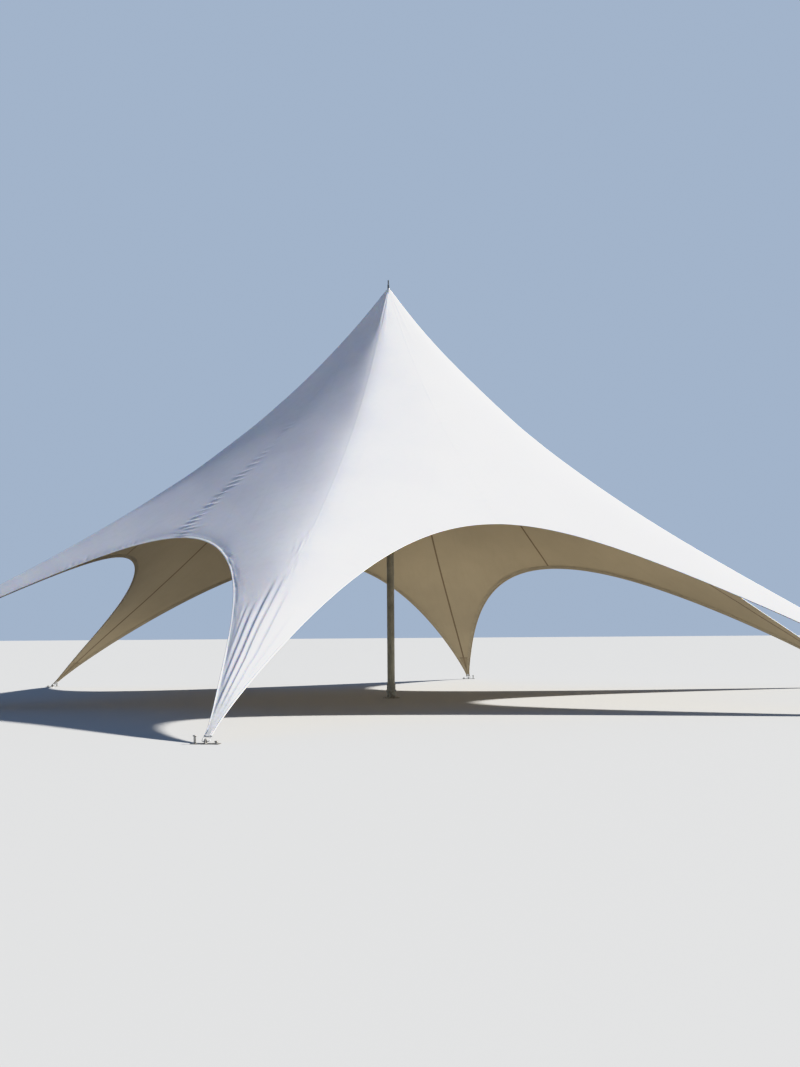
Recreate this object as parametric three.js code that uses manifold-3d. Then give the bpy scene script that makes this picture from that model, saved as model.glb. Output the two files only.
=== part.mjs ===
// Six-pointed star tent: one central mast, twelve gored canopy panels, six
// pointed legs drawn down to ground anchors and six open arches between them.
// Millimetres, +Z up. Origin on the ground under the mast. The front leg
// points along -Y; legs follow every 60 degrees counter-clockwise seen from
// above, and arch k lies between leg k and leg k + 1.
import * as THREE from 'three';
import { mergeVertices } from 'three/addons/utils/BufferGeometryUtils.js';
import Module from 'manifold-3d';

// ---------------------------------------------------------------- dimensions
const H = 6200; // ground to the point of the canopy
const R_TIP = 1.3663 * H; // plan radius where the two hems of a leg meet
const Z_TIP = 0.0086 * H; // height of that point
const R_ARCH = 0.6753 * H; // mean plan radius of an arch's crown
const ARCH_IN = [-0.01, 0.0002, 0.005, -0.0034, 0.0087, -0.0004]; // per arch, x H
const ARCH_UP = [0.0029, 0.0066, -0.0175, 0.0067, 0.0036, -0.0028]; // per arch, x H
const HEM_BEND = -0.193; // quartic share of the hem's plan curve
const SLOPE_TOP = 1.321; // slope of a ridge at the peak
const SLOPE_FADE = 0.5355; // x H, how fast that slope eases
const SLOPE_FOOT = 0.229; // extra fall towards the foot
const SAG = 0.0444; // x H, depth of a valley below its ridges at R_ARCH
const SAG_POWER = 5.0;
const SAG_ROUND = 2.0764;
const FACET = 0.1346; // how six-sided the cone is near the peak
const FACET_FADE = 0.2032; // x H

const CLOTH = 6; // canopy cloth, drawn thick
const R_HUB = 36; // plan radius of the cloth's top edge
const X_SEAM = 7770; // where a leg's cloth meets its corner piece
const X_END = 8450; // folded end of a corner piece
const END_HALF = 36; // half width of that end
const SPLIT = 0.25; // half gap at a sewn seam
const BELT_IN = 42; // hem belt, inner edge from the cloth's edge
const BELT_OUT = 2;
const BELT_T = 3;
const BELT_GAP = 4.5;

const MAST_D = 110;
const MAST_JOINTS = [2180, 4160]; // heights of the two plug joints
const MAST_TOP = 6045;
const PLUG_D = 98;
const PLUG_L = 180;
const FOOT_D = 260;
const FOOT_T = 10;
const SOCKET_D = 130;
const SOCKET_H = 210;
const BOLT_D = 16;
const BOLT_Z = 110;
const SLOT_D = 22; // cross hole through the mast
const SLOT_Z = 750;
const HEAD_BASE_R = 74;
const HEAD_TOP_Z = 6150;
const SPIKE_D = 28;
const SPIKE_TOP = 6336;

const PLATE = [84, 260, 8]; // ground anchor plate, radial x tangential x thick
const LUG_T = 12;
const STAKE_Y = 98;
const STAKE_D = 22;
const LINK = [78, 76, 8]; // shackle link, length x width x bar

const SEG = 24;
const DEG = Math.PI / 180;
const A30 = 30 * DEG;

// ------------------------------------------------------------ canopy surface
const r0 = 0.003;
const RN = R_TIP / H;
const eFade = SLOPE_FADE * (1 - Math.exp(-(RN - r0) / SLOPE_FADE));
const qFoot = (SLOPE_FOOT * (RN - r0) ** 4) / RN ** 3 / 4;
const slopeEnd = (1 - Z_TIP / H - SLOPE_TOP * eFade - qFoot) / (RN - r0 - eFade);

function ridgeZ(r) {
  const x = r / H - r0;
  return (
    H *
    (1 -
      slopeEnd * x -
      (SLOPE_TOP - slopeEnd) * SLOPE_FADE * (1 - Math.exp(-x / SLOPE_FADE)) -
      (SLOPE_FOOT * x ** 4) / RN ** 3 / 4)
  );
}

// height of the cloth's middle surface at plan point (x, y) of a leg's own
// frame, x outwards along the leg, y >= 0 towards arch k
const clampStep = (a, b, v) => {
  const t = Math.min(1, Math.max(0, (v - a) / (b - a)));
  return t * t * (3 - 2 * t);
};
// hollow of the panels: reach from the hem in metres, then its four depths
const HOLLOW = [
  [0.15, 1.1391, -0.6763, -0.7357, -1.9567],
  [0.5, 0.9124, -0.1715, -0.991, -0.6425],
  [1.6, -0.1266, -0.1177, 0.1751, 0.213],
];
// where the hem's plan curve stands on the arch's axis, c off that axis
function archLine(c, k) {
  const rv = R_ARCH + ARCH_IN[k] * H;
  const B = R_TIP * Math.sin(A30);
  const q = (R_TIP * Math.cos(A30) - rv) / (B * B * (1 + HEM_BEND));
  return rv + q * c * c * (1 + HEM_BEND * (c / B) ** 2);
}
// panels hollow a little between the ridge, the valley and the hem
function hollow(x, y, k) {
  const ya = Math.hypot(y, 100) - 100;
  const r = Math.hypot(x, y);
  const t = Math.min(1, Math.atan2(ya, x) / A30);
  // plan distance from the hem along the arch's own axis
  const c = x * Math.sin(A30) - Math.abs(y) * Math.cos(A30);
  const g = Math.max(0, archLine(c, k) - (x * Math.cos(A30) + Math.abs(y) * Math.sin(A30))) / 1000;
  const q = (r - 4000) / 2000;
  const one = 1 - (1 - t) ** 2;
  let deep = 0;
  for (const [g0, k0, k1, k2, k3] of HOLLOW) {
    const e = (1 - Math.exp(-g / g0)) * g0 * Math.exp(-g / (3 * g0));
    deep += e * (one * (k0 + k1 * q) + one * one * (k2 + k3 * q));
  }
  return 1000 * deep * clampStep(700, 2200, r);
}
function clothZ(x, y, k) {
  const r = Math.hypot(x, y);
  const t = Math.min(1, Math.atan2(Math.abs(y), x) / A30);
  const s = Math.sin((Math.PI * t) / 2);
  const facet = (Math.cos(A30 * (1 - t)) / Math.cos(A30) - 1) / (1 / Math.cos(A30) - 1);
  const n = r / H;
  const rv = R_ARCH / H;
  return (
    ridgeZ(r) -
    H * SAG * (n / rv) ** SAG_POWER * s ** SAG_ROUND -
    H * FACET * n * Math.exp(-n / FACET_FADE) * facet +
    H * ARCH_UP[k] * (n / rv) ** 3 * s * s -
    hollow(x, y, k)
  );
}

function normalAt(x, y, k) {
  const e = 2;
  const yy = Math.max(y, 3);
  const dx = (clothZ(x + e, yy, k) - clothZ(x - e, yy, k)) / (2 * e);
  const dy = (clothZ(x, yy + e, k) - clothZ(x, yy - e, k)) / (2 * e);
  return new THREE.Vector3(-dx, -dy, 1).normalize();
}

// plan curve of the hem, s = 0 at the leg's tip, 1 at the arch's crown
function hem(s, k) {
  const rv = R_ARCH + ARCH_IN[k] * H;
  const B = R_TIP * Math.sin(A30);
  const b = B * (1 - s);
  const q = (R_TIP * Math.cos(A30) - rv) / (B * B * (1 + HEM_BEND));
  const a = rv + q * b * b * (1 + HEM_BEND * (b / B) ** 2);
  const x = a * Math.cos(A30) + b * Math.sin(A30);
  const y = a * Math.sin(A30) - b * Math.cos(A30);
  const w = END_HALF * (1 - s) ** 3;
  return [x, Math.sqrt(y * y + w * w)];
}

function hemAtX(X, k) {
  let lo = 0;
  let hi = 0.9;
  for (let i = 0; i < 50; i++) {
    const mid = (lo + hi) / 2;
    if (hem(mid, k)[0] > X) lo = mid;
    else hi = mid;
  }
  return (lo + hi) / 2;
}

// a point set in from the hem by d, square to it in plan
function hemInset(s, d, k) {
  const p = hem(s, k);
  if (s > 0.9999) {
    const r = Math.hypot(p[0], p[1]) - d;
    return [r * Math.cos(A30), r * Math.sin(A30)];
  }
  const h = 1e-4;
  const a = hem(Math.max(0, s - h), k);
  const b = hem(Math.min(1, s + h), k);
  const l = Math.hypot(b[0] - a[0], b[1] - a[1]);
  return [p[0] - ((b[1] - a[1]) / l) * d, p[1] + ((b[0] - a[0]) / l) * d];
}

// ------------------------------------------------------------- mesh helpers
function solid(verts, tris) {
  const g = new THREE.BufferGeometry();
  g.setAttribute('position', new THREE.Float32BufferAttribute(verts.flat(), 3));
  g.setIndex(tris.flat());
  return outward(g);
}

function outward(g0) {
  let g = g0.clone();
  for (const name of ['normal', 'uv']) if (g.getAttribute(name)) g.deleteAttribute(name);
  g = mergeVertices(g, 1e-3);
  const p = g.getAttribute('position');
  const index = Array.from(g.getIndex().array);
  const keep = [];
  let volume = 0;
  const a = new THREE.Vector3();
  const b = new THREE.Vector3();
  const c = new THREE.Vector3();
  for (let i = 0; i < index.length; i += 3) {
    const [u, v, w] = [index[i], index[i + 1], index[i + 2]];
    if (u === v || v === w || u === w) continue;
    keep.push(u, v, w);
    a.fromBufferAttribute(p, u);
    b.fromBufferAttribute(p, v);
    c.fromBufferAttribute(p, w);
    volume += a.dot(b.clone().cross(c)) / 6;
  }
  if (volume < 0) for (let i = 0; i < keep.length; i += 3) [keep[i], keep[i + 1]] = [keep[i + 1], keep[i]];
  g.setIndex(keep);
  return g;
}

// closed body from a top and a bottom grid of the same size
function slab(top, bottom) {
  const nr = top.length;
  const nc = top[0].length;
  const verts = [...top.flat(), ...bottom.flat()];
  const T = (i, j) => i * nc + j;
  const B = (i, j) => nr * nc + i * nc + j;
  const tris = [];
  for (let i = 0; i < nr - 1; i++)
    for (let j = 0; j < nc - 1; j++) {
      tris.push([T(i, j), T(i + 1, j), T(i + 1, j + 1)], [T(i, j), T(i + 1, j + 1), T(i, j + 1)]);
      tris.push([B(i, j), B(i + 1, j + 1), B(i + 1, j)], [B(i, j), B(i, j + 1), B(i + 1, j + 1)]);
    }
  const wall = (p, q) => tris.push([T(...p), B(...q), B(...p)], [T(...p), T(...q), B(...q)]);
  for (let i = 0; i < nr - 1; i++) {
    wall([i + 1, 0], [i, 0]);
    wall([i, nc - 1], [i + 1, nc - 1]);
  }
  for (let j = 0; j < nc - 1; j++) {
    wall([0, j], [0, j + 1]);
    wall([nr - 1, j + 1], [nr - 1, j]);
  }
  return solid(verts, tris);
}

function turned(points, seg = SEG) {
  const g = new THREE.LatheGeometry(
    points.map(([x, y]) => new THREE.Vector2(x, y)),
    seg,
  );
  g.rotateX(Math.PI / 2);
  return outward(g);
}

const wasm = await Module();
wasm.setup();
function toSolid(g) {
  const p = outward(g);
  return new wasm.Manifold(
    new wasm.Mesh({
      numProp: 3,
      vertProperties: new Float32Array(p.getAttribute('position').array),
      triVerts: new Uint32Array(p.getIndex().array),
    }),
  );
}
function fromSolid(m) {
  const mesh = m.getMesh();
  const verts = [];
  for (let i = 0; i < mesh.vertProperties.length; i += mesh.numProp)
    verts.push([mesh.vertProperties[i], mesh.vertProperties[i + 1], mesh.vertProperties[i + 2]]);
  const tris = [];
  for (let i = 0; i < mesh.triVerts.length; i += 3)
    tris.push([mesh.triVerts[i], mesh.triVerts[i + 1], mesh.triVerts[i + 2]]);
  return solid(verts, tris);
}
const joined = (...gs) => fromSolid(gs.map(toSolid).reduce((a, b) => a.add(b)));
const cut = (g, ...tools) => fromSolid(tools.map(toSolid).reduce((a, b) => a.subtract(b), toSolid(g)));

function rod(d, length, seg = 24) {
  const g = new THREE.CylinderGeometry(d / 2, d / 2, length, seg);
  g.rotateX(Math.PI / 2);
  return g;
}

// ------------------------------------------------------------------ the model
const tent = new THREE.Group();
const LEGS = ['front', 'front_right', 'back_right', 'back', 'back_left', 'front_left'];

function add(name, geometry, color, roughness, metalness, parent = tent) {
  const mesh = new THREE.Mesh(geometry, new THREE.MeshStandardMaterial({ color, roughness, metalness }));
  mesh.name = name;
  parent.add(mesh);
  return mesh;
}

// offset of a middle-surface plan point by d along the cloth's normal, kept
// in the ridge plane (side 0) or the valley plane (side 1) on those columns
function lifted(x, y, k, d, side) {
  const n = normalAt(x, y, k);
  if (side === 0) {
    n.y = 0;
    n.normalize();
  }
  if (side === 1) {
    const v = new THREE.Vector3(Math.sin(A30), -Math.cos(A30), 0);
    n.addScaledVector(v, -n.dot(v)).normalize();
  }
  return [x + n.x * d, y + n.y * d, clothZ(x, y, k) + n.z * d];
}

const HEM_COLS = 7; // hem stations on one panel, corner to crown
function hemStations(k) {
  const sc = hemAtX(X_SEAM, k);
  const out = [];
  for (let i = 0; i <= HEM_COLS; i++) out.push(sc + (1 - sc) * (i / HEM_COLS) ** 0.92);
  out[HEM_COLS] = 1;
  return out;
}
const TIP_X = [X_SEAM + 0.6, 8000, 8230, X_END];

function panel(k) {
  // columns: ridge, then the corner of the seam's belt line, then the hem
  const ss = hemStations(k);
  const corner = hem(ss[0], k);
  const cols = [];
  cols.push({ end: [X_SEAM, 0], inner: [X_SEAM - 60, 0], fan: 0 });
  cols.push({ end: [X_SEAM, corner[1] - BELT_IN], inner: [X_SEAM - 60, corner[1] - BELT_IN - 8], fan: 2.2 });
  for (let i = 0; i < ss.length; i++) {
    const p = i === 0 ? [X_SEAM, corner[1]] : hem(ss[i], k);
    let q = hemInset(ss[i], BELT_IN, k);
    if (i === 0) q = [X_SEAM - 30, hem(hemAtX(X_SEAM - 30, k), k)[1] - BELT_IN - 1];
    cols.push({ end: p, inner: q, fan: 4.4 + (25.6 * i) / (ss.length - 1) });
  }
  const rows = [];
  const NR = 11;
  for (let j = 0; j <= NR; j++) rows.push((j / NR) ** 1.35);
  const top = [];
  const bottom = [];
  cols.forEach((c, i) => {
    const side = i === 0 ? 0 : i === cols.length - 1 ? 1 : -1;
    const rIn = Math.hypot(...c.inner);
    const aIn = Math.atan2(c.inner[1], c.inner[0]);
    const colT = [];
    const colB = [];
    const put = (x, y) => {
      let [px, py] = [x, y];
      if (side === 0) py = 0;
      const a = lifted(px, py, k, CLOTH / 2, side);
      const b = lifted(px, py, k, -CLOTH / 2, side);
      for (const v of [a, b]) {
        if (side === 0) v[1] = SPLIT;
        if (side === 1) {
          v[0] += Math.sin(A30) * SPLIT;
          v[1] -= Math.cos(A30) * SPLIT;
        }
      }
      colT.push(a);
      colB.push(b);
    };
    for (const u of rows) {
      const r = R_HUB + (rIn - R_HUB) * u;
      const a = aIn + (c.fan * DEG - aIn) * (1 - u) ** 2.2;
      const fixed = side === 0 ? 0 : side === 1 ? A30 : a;
      put(r * Math.cos(fixed), r * Math.sin(fixed));
    }
    put(...c.end);
    if (c.end[0] === X_SEAM) colT[colT.length - 1][0] = colB[colB.length - 1][0] = X_SEAM;
    top.push(colT);
    bottom.push(colB);
  });
  return slab(top, bottom);
}

// the doubled cloth corner of a leg, one piece across the ridge
function corner(kRight, kLeft) {
  // kRight: arch on the +y side, kLeft: arch on the -y side
  const top = [];
  const bottom = [];
  for (const X of TIP_X) {
    const rowT = [];
    const rowB = [];
    const station = (k, sign) => {
      const w = hem(hemAtX(X, k), k)[1];
      return [w, Math.max(w - BELT_IN, 1.5)].map((y) => [y * sign, k]);
    };
    const [a, b] = station(kLeft, -1);
    const [c, d] = station(kRight, 1);
    for (const [y, k] of [a, b, [0, kRight], d, c]) {
      for (const [row, off] of [
        [rowT, CLOTH / 2],
        [rowB, -CLOTH / 2],
      ]) {
        const p = lifted(X, Math.abs(y), k, off, y === 0 ? 0 : -1);
        row.push([p[0], y < 0 ? -p[1] : p[1], p[2]]);
      }
    }
    top.push(rowT);
    bottom.push(rowB);
  }
  // square both ends to the seam line and the fold line
  for (const grid of [top, bottom]) {
    for (const p of grid[0]) p[0] = X_SEAM + 0.6;
    for (const p of grid[grid.length - 1]) p[0] = X_END;
  }
  return slab(top, bottom);
}

const rotZ = ([x, y, z], a) => [x * Math.cos(a) - y * Math.sin(a), x * Math.sin(a) + y * Math.cos(a), z];

// one belt under the hem of arch k, from the tip of leg k to that of leg k + 1
function belt(k) {
  const half = [];
  const place = (s, X) => {
    const p = X === undefined ? hem(s, k) : [X, hem(hemAtX(X, k), k)[1]];
    let outer;
    let inner;
    if (X !== undefined) {
      outer = [p[0], p[1] - BELT_OUT];
      inner = [p[0], Math.max(p[1] - BELT_IN, 1.5)];
    } else {
      outer = hemInset(s, BELT_OUT, k);
      inner = hemInset(s, BELT_IN, k);
    }
    return [outer, inner];
  };
  const ss = hemStations(k);
  for (const X of TIP_X.slice().reverse()) half.push([...place(0, X === TIP_X[0] ? X_SEAM : X), -1]);
  for (let i = 1; i < ss.length; i++) half.push([...place(ss[i]), i === ss.length - 1 ? 1 : -1]);
  const d0 = -(CLOTH / 2 + BELT_GAP);
  const sections = half.map(([o, q, side]) => [
    lifted(...o, k, d0, side),
    lifted(...q, k, d0, side),
    lifted(...q, k, d0 - BELT_T, side),
    lifted(...o, k, d0 - BELT_T, side),
  ]);
  // pull the end square behind the fold line
  for (const p of sections[0]) p[0] = X_END - 1;
  const all = sections.map((sec) => sec.map((p) => rotZ(p, 0)));
  const mirrored = sections
    .slice(0, -1)
    .reverse()
    .map((sec) => sec.map(([x, y, z]) => rotZ([x, -y, z], 60 * DEG)));
  const ring = [...all, ...mirrored];
  const verts = ring.flat();
  const tris = [];
  for (let i = 0; i < ring.length - 1; i++)
    for (let j = 0; j < 4; j++) {
      const a = i * 4 + j;
      const b = i * 4 + ((j + 1) % 4);
      tris.push([a, b, b + 4], [a, b + 4, a + 4]);
    }
  const e = (ring.length - 1) * 4;
  tris.push([0, 2, 1], [0, 3, 2], [e, e + 1, e + 2], [e, e + 2, e + 3]);
  return solid(verts, tris);
}

const CLOTH_COLOR = 0xe9eaee;
const BELT_COLOR = 0xc9c6bd;
const MAST_COLOR = 0xb6b1a4;
const STEEL = 0x8b8f92;

// mast: foot socket, three plugged tubes, head cone and spike
add(
  'mast_foot',
  cut(
    turned([
      [0, 0],
      [FOOT_D / 2, 0],
      [FOOT_D / 2, FOOT_T],
      [SOCKET_D / 2, FOOT_T + 4],
      [SOCKET_D / 2, SOCKET_H],
      [MAST_D / 2 + 0.5, SOCKET_H],
      [MAST_D / 2 + 0.5, FOOT_T],
      [0, FOOT_T],
    ]),
    rod(BOLT_D + 1, SOCKET_D + 40).rotateZ(0).rotateY(Math.PI / 2).translate(0, 0, BOLT_Z),
  ),
  STEEL,
  0.55,
  0.7,
);
const plugged = (z0, z1, socket, plug) => {
  const r = MAST_D / 2;
  const pts = socket
    ? [
        [0, z0 + PLUG_L + 1],
        [PLUG_D / 2 + 0.5, z0 + PLUG_L + 1],
        [PLUG_D / 2 + 0.5, z0],
        [r - 1, z0],
        [r, z0 + 2],
      ]
    : [
        [0, z0],
        [r, z0],
      ];
  return plug
    ? [...pts, [r, z1 - 2], [r - 1, z1], [PLUG_D / 2, z1], [PLUG_D / 2, z1 + PLUG_L], [0, z1 + PLUG_L]]
    : [...pts, [r, z1], [0, z1]];
};
const crossHole = (z) =>
  rod(SLOT_D, MAST_D + 40)
    .rotateX(Math.PI / 2)
    .translate(0, 0, z);
add(
  'mast_lower',
  cut(
    turned(plugged(FOOT_T + 0.5, MAST_JOINTS[0], false, true)),
    rod(BOLT_D + 1, MAST_D + 40)
      .rotateY(Math.PI / 2)
      .translate(0, 0, BOLT_Z),
    crossHole(SLOT_Z),
  ),
  MAST_COLOR,
  0.5,
  0.5,
);
add('mast_middle', turned(plugged(MAST_JOINTS[0] + 0.5, MAST_JOINTS[1], true, true)), MAST_COLOR, 0.5, 0.5);
add('mast_upper', turned(plugged(MAST_JOINTS[1] + 0.5, MAST_TOP, true, false)), MAST_COLOR, 0.5, 0.5);
{
  // bolt with a hexagon head on the +X side and a nut on the other
  const shank = rod(BOLT_D, SOCKET_D + 30).rotateY(Math.PI / 2);
  const head = new THREE.CylinderGeometry(14, 14, 11, 6).rotateZ(Math.PI / 2).translate(SOCKET_D / 2 + 6.5, 0, 0);
  const nut = new THREE.CylinderGeometry(14, 14, 12, 6).rotateZ(Math.PI / 2).translate(-SOCKET_D / 2 - 7, 0, 0);
  add('foot_bolt', joined(shank, head, nut).translate(0, 0, BOLT_Z), STEEL, 0.4, 0.9);
}
add(
  'mast_head',
  turned([
    [0, MAST_TOP + 0.5],
    [HEAD_BASE_R, MAST_TOP + 0.5],
    [HEAD_BASE_R, MAST_TOP + 18],
    [26, HEAD_TOP_Z],
    [0, HEAD_TOP_Z],
  ]),
  STEEL,
  0.45,
  0.7,
);
add(
  'peak_spike',
  turned([
    [0, HEAD_TOP_Z + 0.5],
    [SPIKE_D / 2, HEAD_TOP_Z + 0.5],
    [SPIKE_D / 2, 6262],
    [SPIKE_D / 2 - 4, 6268],
    [SPIKE_D / 2 - 4, SPIKE_TOP - 5],
    [SPIKE_D / 2 - 8, SPIKE_TOP],
    [0, SPIKE_TOP],
  ]),
  0x5f686c,
  0.45,
  0.8,
);
add(
  'peak_cap',
  turned([
    [SPIKE_D / 2 + 0.6, HEAD_TOP_Z + 0.6],
    [28, HEAD_TOP_Z + 0.6],
    [32, 6145],
    [32, 6152],
    [24, 6171],
    [17, 6197],
    [SPIKE_D / 2 + 0.6, 6204],
    [SPIKE_D / 2 + 0.6, HEAD_TOP_Z + 0.6],
  ]),
  CLOTH_COLOR,
  0.6,
  0.0,
);

LEGS.forEach((leg, k) => {
  const g = new THREE.Group();
  g.rotation.z = (-90 + 60 * k) * DEG;
  tent.add(g);
  const kl = (k + 5) % 6;
  // canopy panels either side of the ridge
  add(`canopy_panel_${leg}_a`, panel(k), CLOTH_COLOR, 0.75, 0.0, g);
  const other = panel(kl);
  other.scale(1, -1, 1);
  add(`canopy_panel_${leg}_b`, outward(other), CLOTH_COLOR, 0.75, 0.0, g);
  add(`leg_corner_${leg}`, corner(k, kl), 0xdcdde0, 0.75, 0.0, g);
  add(`hem_belt_${leg}`, belt(k), BELT_COLOR, 0.8, 0.0, g);

  // shackle link from the folded end down to the anchor's lug
  const fall = (clothZ(X_END - 40, 0, k) - clothZ(X_END, 0, k)) / 40;
  const tilt = Math.atan(fall);
  const z0 = clothZ(X_END, 0, k);
  const [L, W, T] = LINK;
  const outline = new THREE.Shape();
  const round = (shape, l, w, r) => {
    shape.moveTo(r, -w / 2);
    shape.lineTo(l - r, -w / 2);
    shape.absarc(l - r, -w / 2 + r, r, -Math.PI / 2, 0, false);
    shape.lineTo(l, w / 2 - r);
    shape.absarc(l - r, w / 2 - r, r, 0, Math.PI / 2, false);
    shape.lineTo(r, w / 2);
    shape.absarc(r, w / 2 - r, r, Math.PI / 2, Math.PI, false);
    shape.lineTo(0, -w / 2 + r);
    shape.absarc(r, -w / 2 + r, r, Math.PI, 1.5 * Math.PI, false);
  };
  round(outline, L, W, 14);
  const hole = new THREE.Path();
  round(hole, L - 2 * T, W - 2 * T, 7);
  const moved = new THREE.Path(hole.getPoints(3).map((p) => new THREE.Vector2(p.x + T, p.y)));
  outline.holes.push(moved);
  const link = new THREE.ExtrudeGeometry(outline, { depth: T, bevelEnabled: false, curveSegments: 3 });
  link.translate(0, 0, -T / 2);
  link.rotateY(tilt);
  link.translate(X_END + 5, 0, z0 - 3);
  add(`tip_link_${leg}`, outward(link), STEEL, 0.35, 0.9, g);

  // anchor: plate with an upright lug and two stakes through it
  const bx = X_END + 5 + (L - T / 2) * Math.cos(tilt);
  const bz = z0 - 3 - (L - T / 2) * Math.sin(tilt);
  const lug = new THREE.Shape();
  lug.moveTo(bx - 34, PLATE[2] - 2);
  lug.lineTo(bx + 34, PLATE[2] - 2);
  lug.lineTo(bx + 24, bz + 10);
  lug.absarc(bx, bz, 24, 0.4, Math.PI - 0.4, false);
  lug.lineTo(bx - 24, bz + 10);
  lug.closePath();
  const eye = new THREE.Path();
  eye.absarc(bx, bz, 11, 0, 2 * Math.PI, true);
  lug.holes.push(eye);
  const lugG = new THREE.ExtrudeGeometry(lug, { depth: LUG_T, bevelEnabled: false, curveSegments: 6 });
  lugG.rotateX(Math.PI / 2);
  lugG.translate(0, LUG_T / 2, 0);
  const plate = new THREE.BoxGeometry(...PLATE).translate(bx, 0, PLATE[2] / 2);
  const stake = (y, top) => {
    const shaft = rod(STAKE_D, top - 12 - PLATE[2] + 4, 8).translate(bx, y, (top - 12 + PLATE[2] - 4) / 2);
    const headG = rod(STAKE_D + 14, 12, 10).translate(bx, y, top - 6.5);
    return joined(shaft, headG);
  };
  add(
    `ground_anchor_${leg}`,
    joined(plate, lugG, stake(-STAKE_Y, 78), stake(STAKE_Y, 30)),
    STEEL,
    0.5,
    0.8,
    g,
  );
});

export default tent;
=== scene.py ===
import math

import bpy
import bmesh
import numpy as np
from mathutils import Matrix, Vector


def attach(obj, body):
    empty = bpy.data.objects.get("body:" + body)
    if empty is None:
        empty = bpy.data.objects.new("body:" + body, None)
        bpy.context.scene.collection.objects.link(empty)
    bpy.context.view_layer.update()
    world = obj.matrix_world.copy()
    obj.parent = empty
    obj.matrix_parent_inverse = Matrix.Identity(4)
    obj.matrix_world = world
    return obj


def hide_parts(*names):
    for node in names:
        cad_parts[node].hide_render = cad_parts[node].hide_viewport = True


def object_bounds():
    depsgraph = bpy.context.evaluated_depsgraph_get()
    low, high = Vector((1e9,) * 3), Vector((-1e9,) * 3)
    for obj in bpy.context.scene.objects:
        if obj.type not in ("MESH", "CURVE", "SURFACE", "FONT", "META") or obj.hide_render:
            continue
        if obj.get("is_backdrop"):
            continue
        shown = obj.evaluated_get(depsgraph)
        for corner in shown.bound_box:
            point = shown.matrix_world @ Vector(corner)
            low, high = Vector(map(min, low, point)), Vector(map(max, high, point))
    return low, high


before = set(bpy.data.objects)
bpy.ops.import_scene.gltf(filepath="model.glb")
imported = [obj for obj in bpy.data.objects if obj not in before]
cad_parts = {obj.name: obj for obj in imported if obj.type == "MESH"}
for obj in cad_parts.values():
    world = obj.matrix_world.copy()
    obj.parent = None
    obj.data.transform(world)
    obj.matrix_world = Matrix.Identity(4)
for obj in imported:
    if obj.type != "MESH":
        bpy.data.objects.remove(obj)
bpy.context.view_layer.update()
SCENE = bpy.context.scene
LEGS = ["front", "front_right", "back_right", "back", "back_left", "front_left"]

# ---------------------------------------------------------------------------
# canopy form, in metres: the same curves as the part's source
# ---------------------------------------------------------------------------
H = 6.2
R_TIP = 1.3663 * H
Z_TIP = 0.0086 * H
R_ARCH = 0.6753 * H
ARCH_IN = [-0.01, 0.0002, 0.005, -0.0034, 0.0087, -0.0004]
ARCH_UP = [0.0029, 0.0066, -0.0175, 0.0067, 0.0036, -0.0028]
HEM_BEND = -0.193
SLOPE_TOP, SLOPE_FADE, SLOPE_FOOT = 1.321, 0.5355, 0.229
SAG, SAG_POWER, SAG_ROUND = 0.0444, 5.0, 2.0764
FACET, FACET_FADE = 0.1346, 0.2032
A30 = math.pi / 6
C30, S30, T30 = math.cos(A30), math.sin(A30), math.tan(A30)
R_HUB = 0.036
X_SEAM = 7.77
X_END = 8.45
_r0 = 0.003
_RN = R_TIP / H
_e = SLOPE_FADE * (1 - math.exp(-(_RN - _r0) / SLOPE_FADE))
_q = SLOPE_FOOT * (_RN - _r0) ** 4 / _RN**3 / 4
_slope_end = (1 - Z_TIP / H - SLOPE_TOP * _e - _q) / (_RN - _r0 - _e)

# share of the half sector over which a ridge is rounded: sharp below the peak, softer further down
def ridge_round(r):
    return 0.11 + 0.14 * smooth(0.4, 0.95, r)


def ridge_z(r):
    x = r / H - _r0
    return H * (
        1
        - _slope_end * x
        - (SLOPE_TOP - _slope_end) * SLOPE_FADE * (1 - np.exp(-x / SLOPE_FADE))
        - SLOPE_FOOT * x**4 / _RN**3 / 4
    )


def _facet(t):
    return (np.cos(A30 * (1 - t)) / C30 - 1) / (1 / C30 - 1)


def smooth(a, b, x):
    t = np.clip((x - a) / (b - a), 0, 1)
    return t * t * (3 - 2 * t)


HOLLOW = (
    (0.15, 1.1391, -0.6763, -0.7357, -1.9567),
    (0.5, 0.9124, -0.1715, -0.991, -0.6425),
    (1.6, -0.1266, -0.1177, 0.1751, 0.213),
)


def arch_line(c, a):
    """Where the hem's plan curve stands on the arch's axis, c off that axis."""
    rv = R_ARCH + ARCH_IN[a] * H
    B = R_TIP * S30
    q = (R_TIP * C30 - rv) / (B * B * (1 + HEM_BEND))
    return rv + q * c * c * (1 + HEM_BEND * (c / B) ** 2)


def hollow(x, y, a):
    """How far the panels hollow between the ridge, the valley and the hem."""
    ya = np.hypot(y, 0.1) - 0.1
    r = np.hypot(x, y)
    t = np.minimum(1, np.arctan2(ya, x) / A30)
    # plan distance from the hem along the arch's own axis
    c = x * S30 - np.abs(y) * C30
    g = np.maximum(0, arch_line(c, a) - (x * C30 + np.abs(y) * S30))
    q = (r - 4) / 2
    one = 1 - (1 - t) ** 2
    deep = 0
    for g0, k0, k1, k2, k3 in HOLLOW:
        e = (1 - np.exp(-g / g0)) * g0 * np.exp(-g / (3 * g0))
        deep = deep + e * (one * (k0 + k1 * q) + one * one * (k2 + k3 * q))
    return deep * smooth(0.7, 2.2, r)


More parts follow.
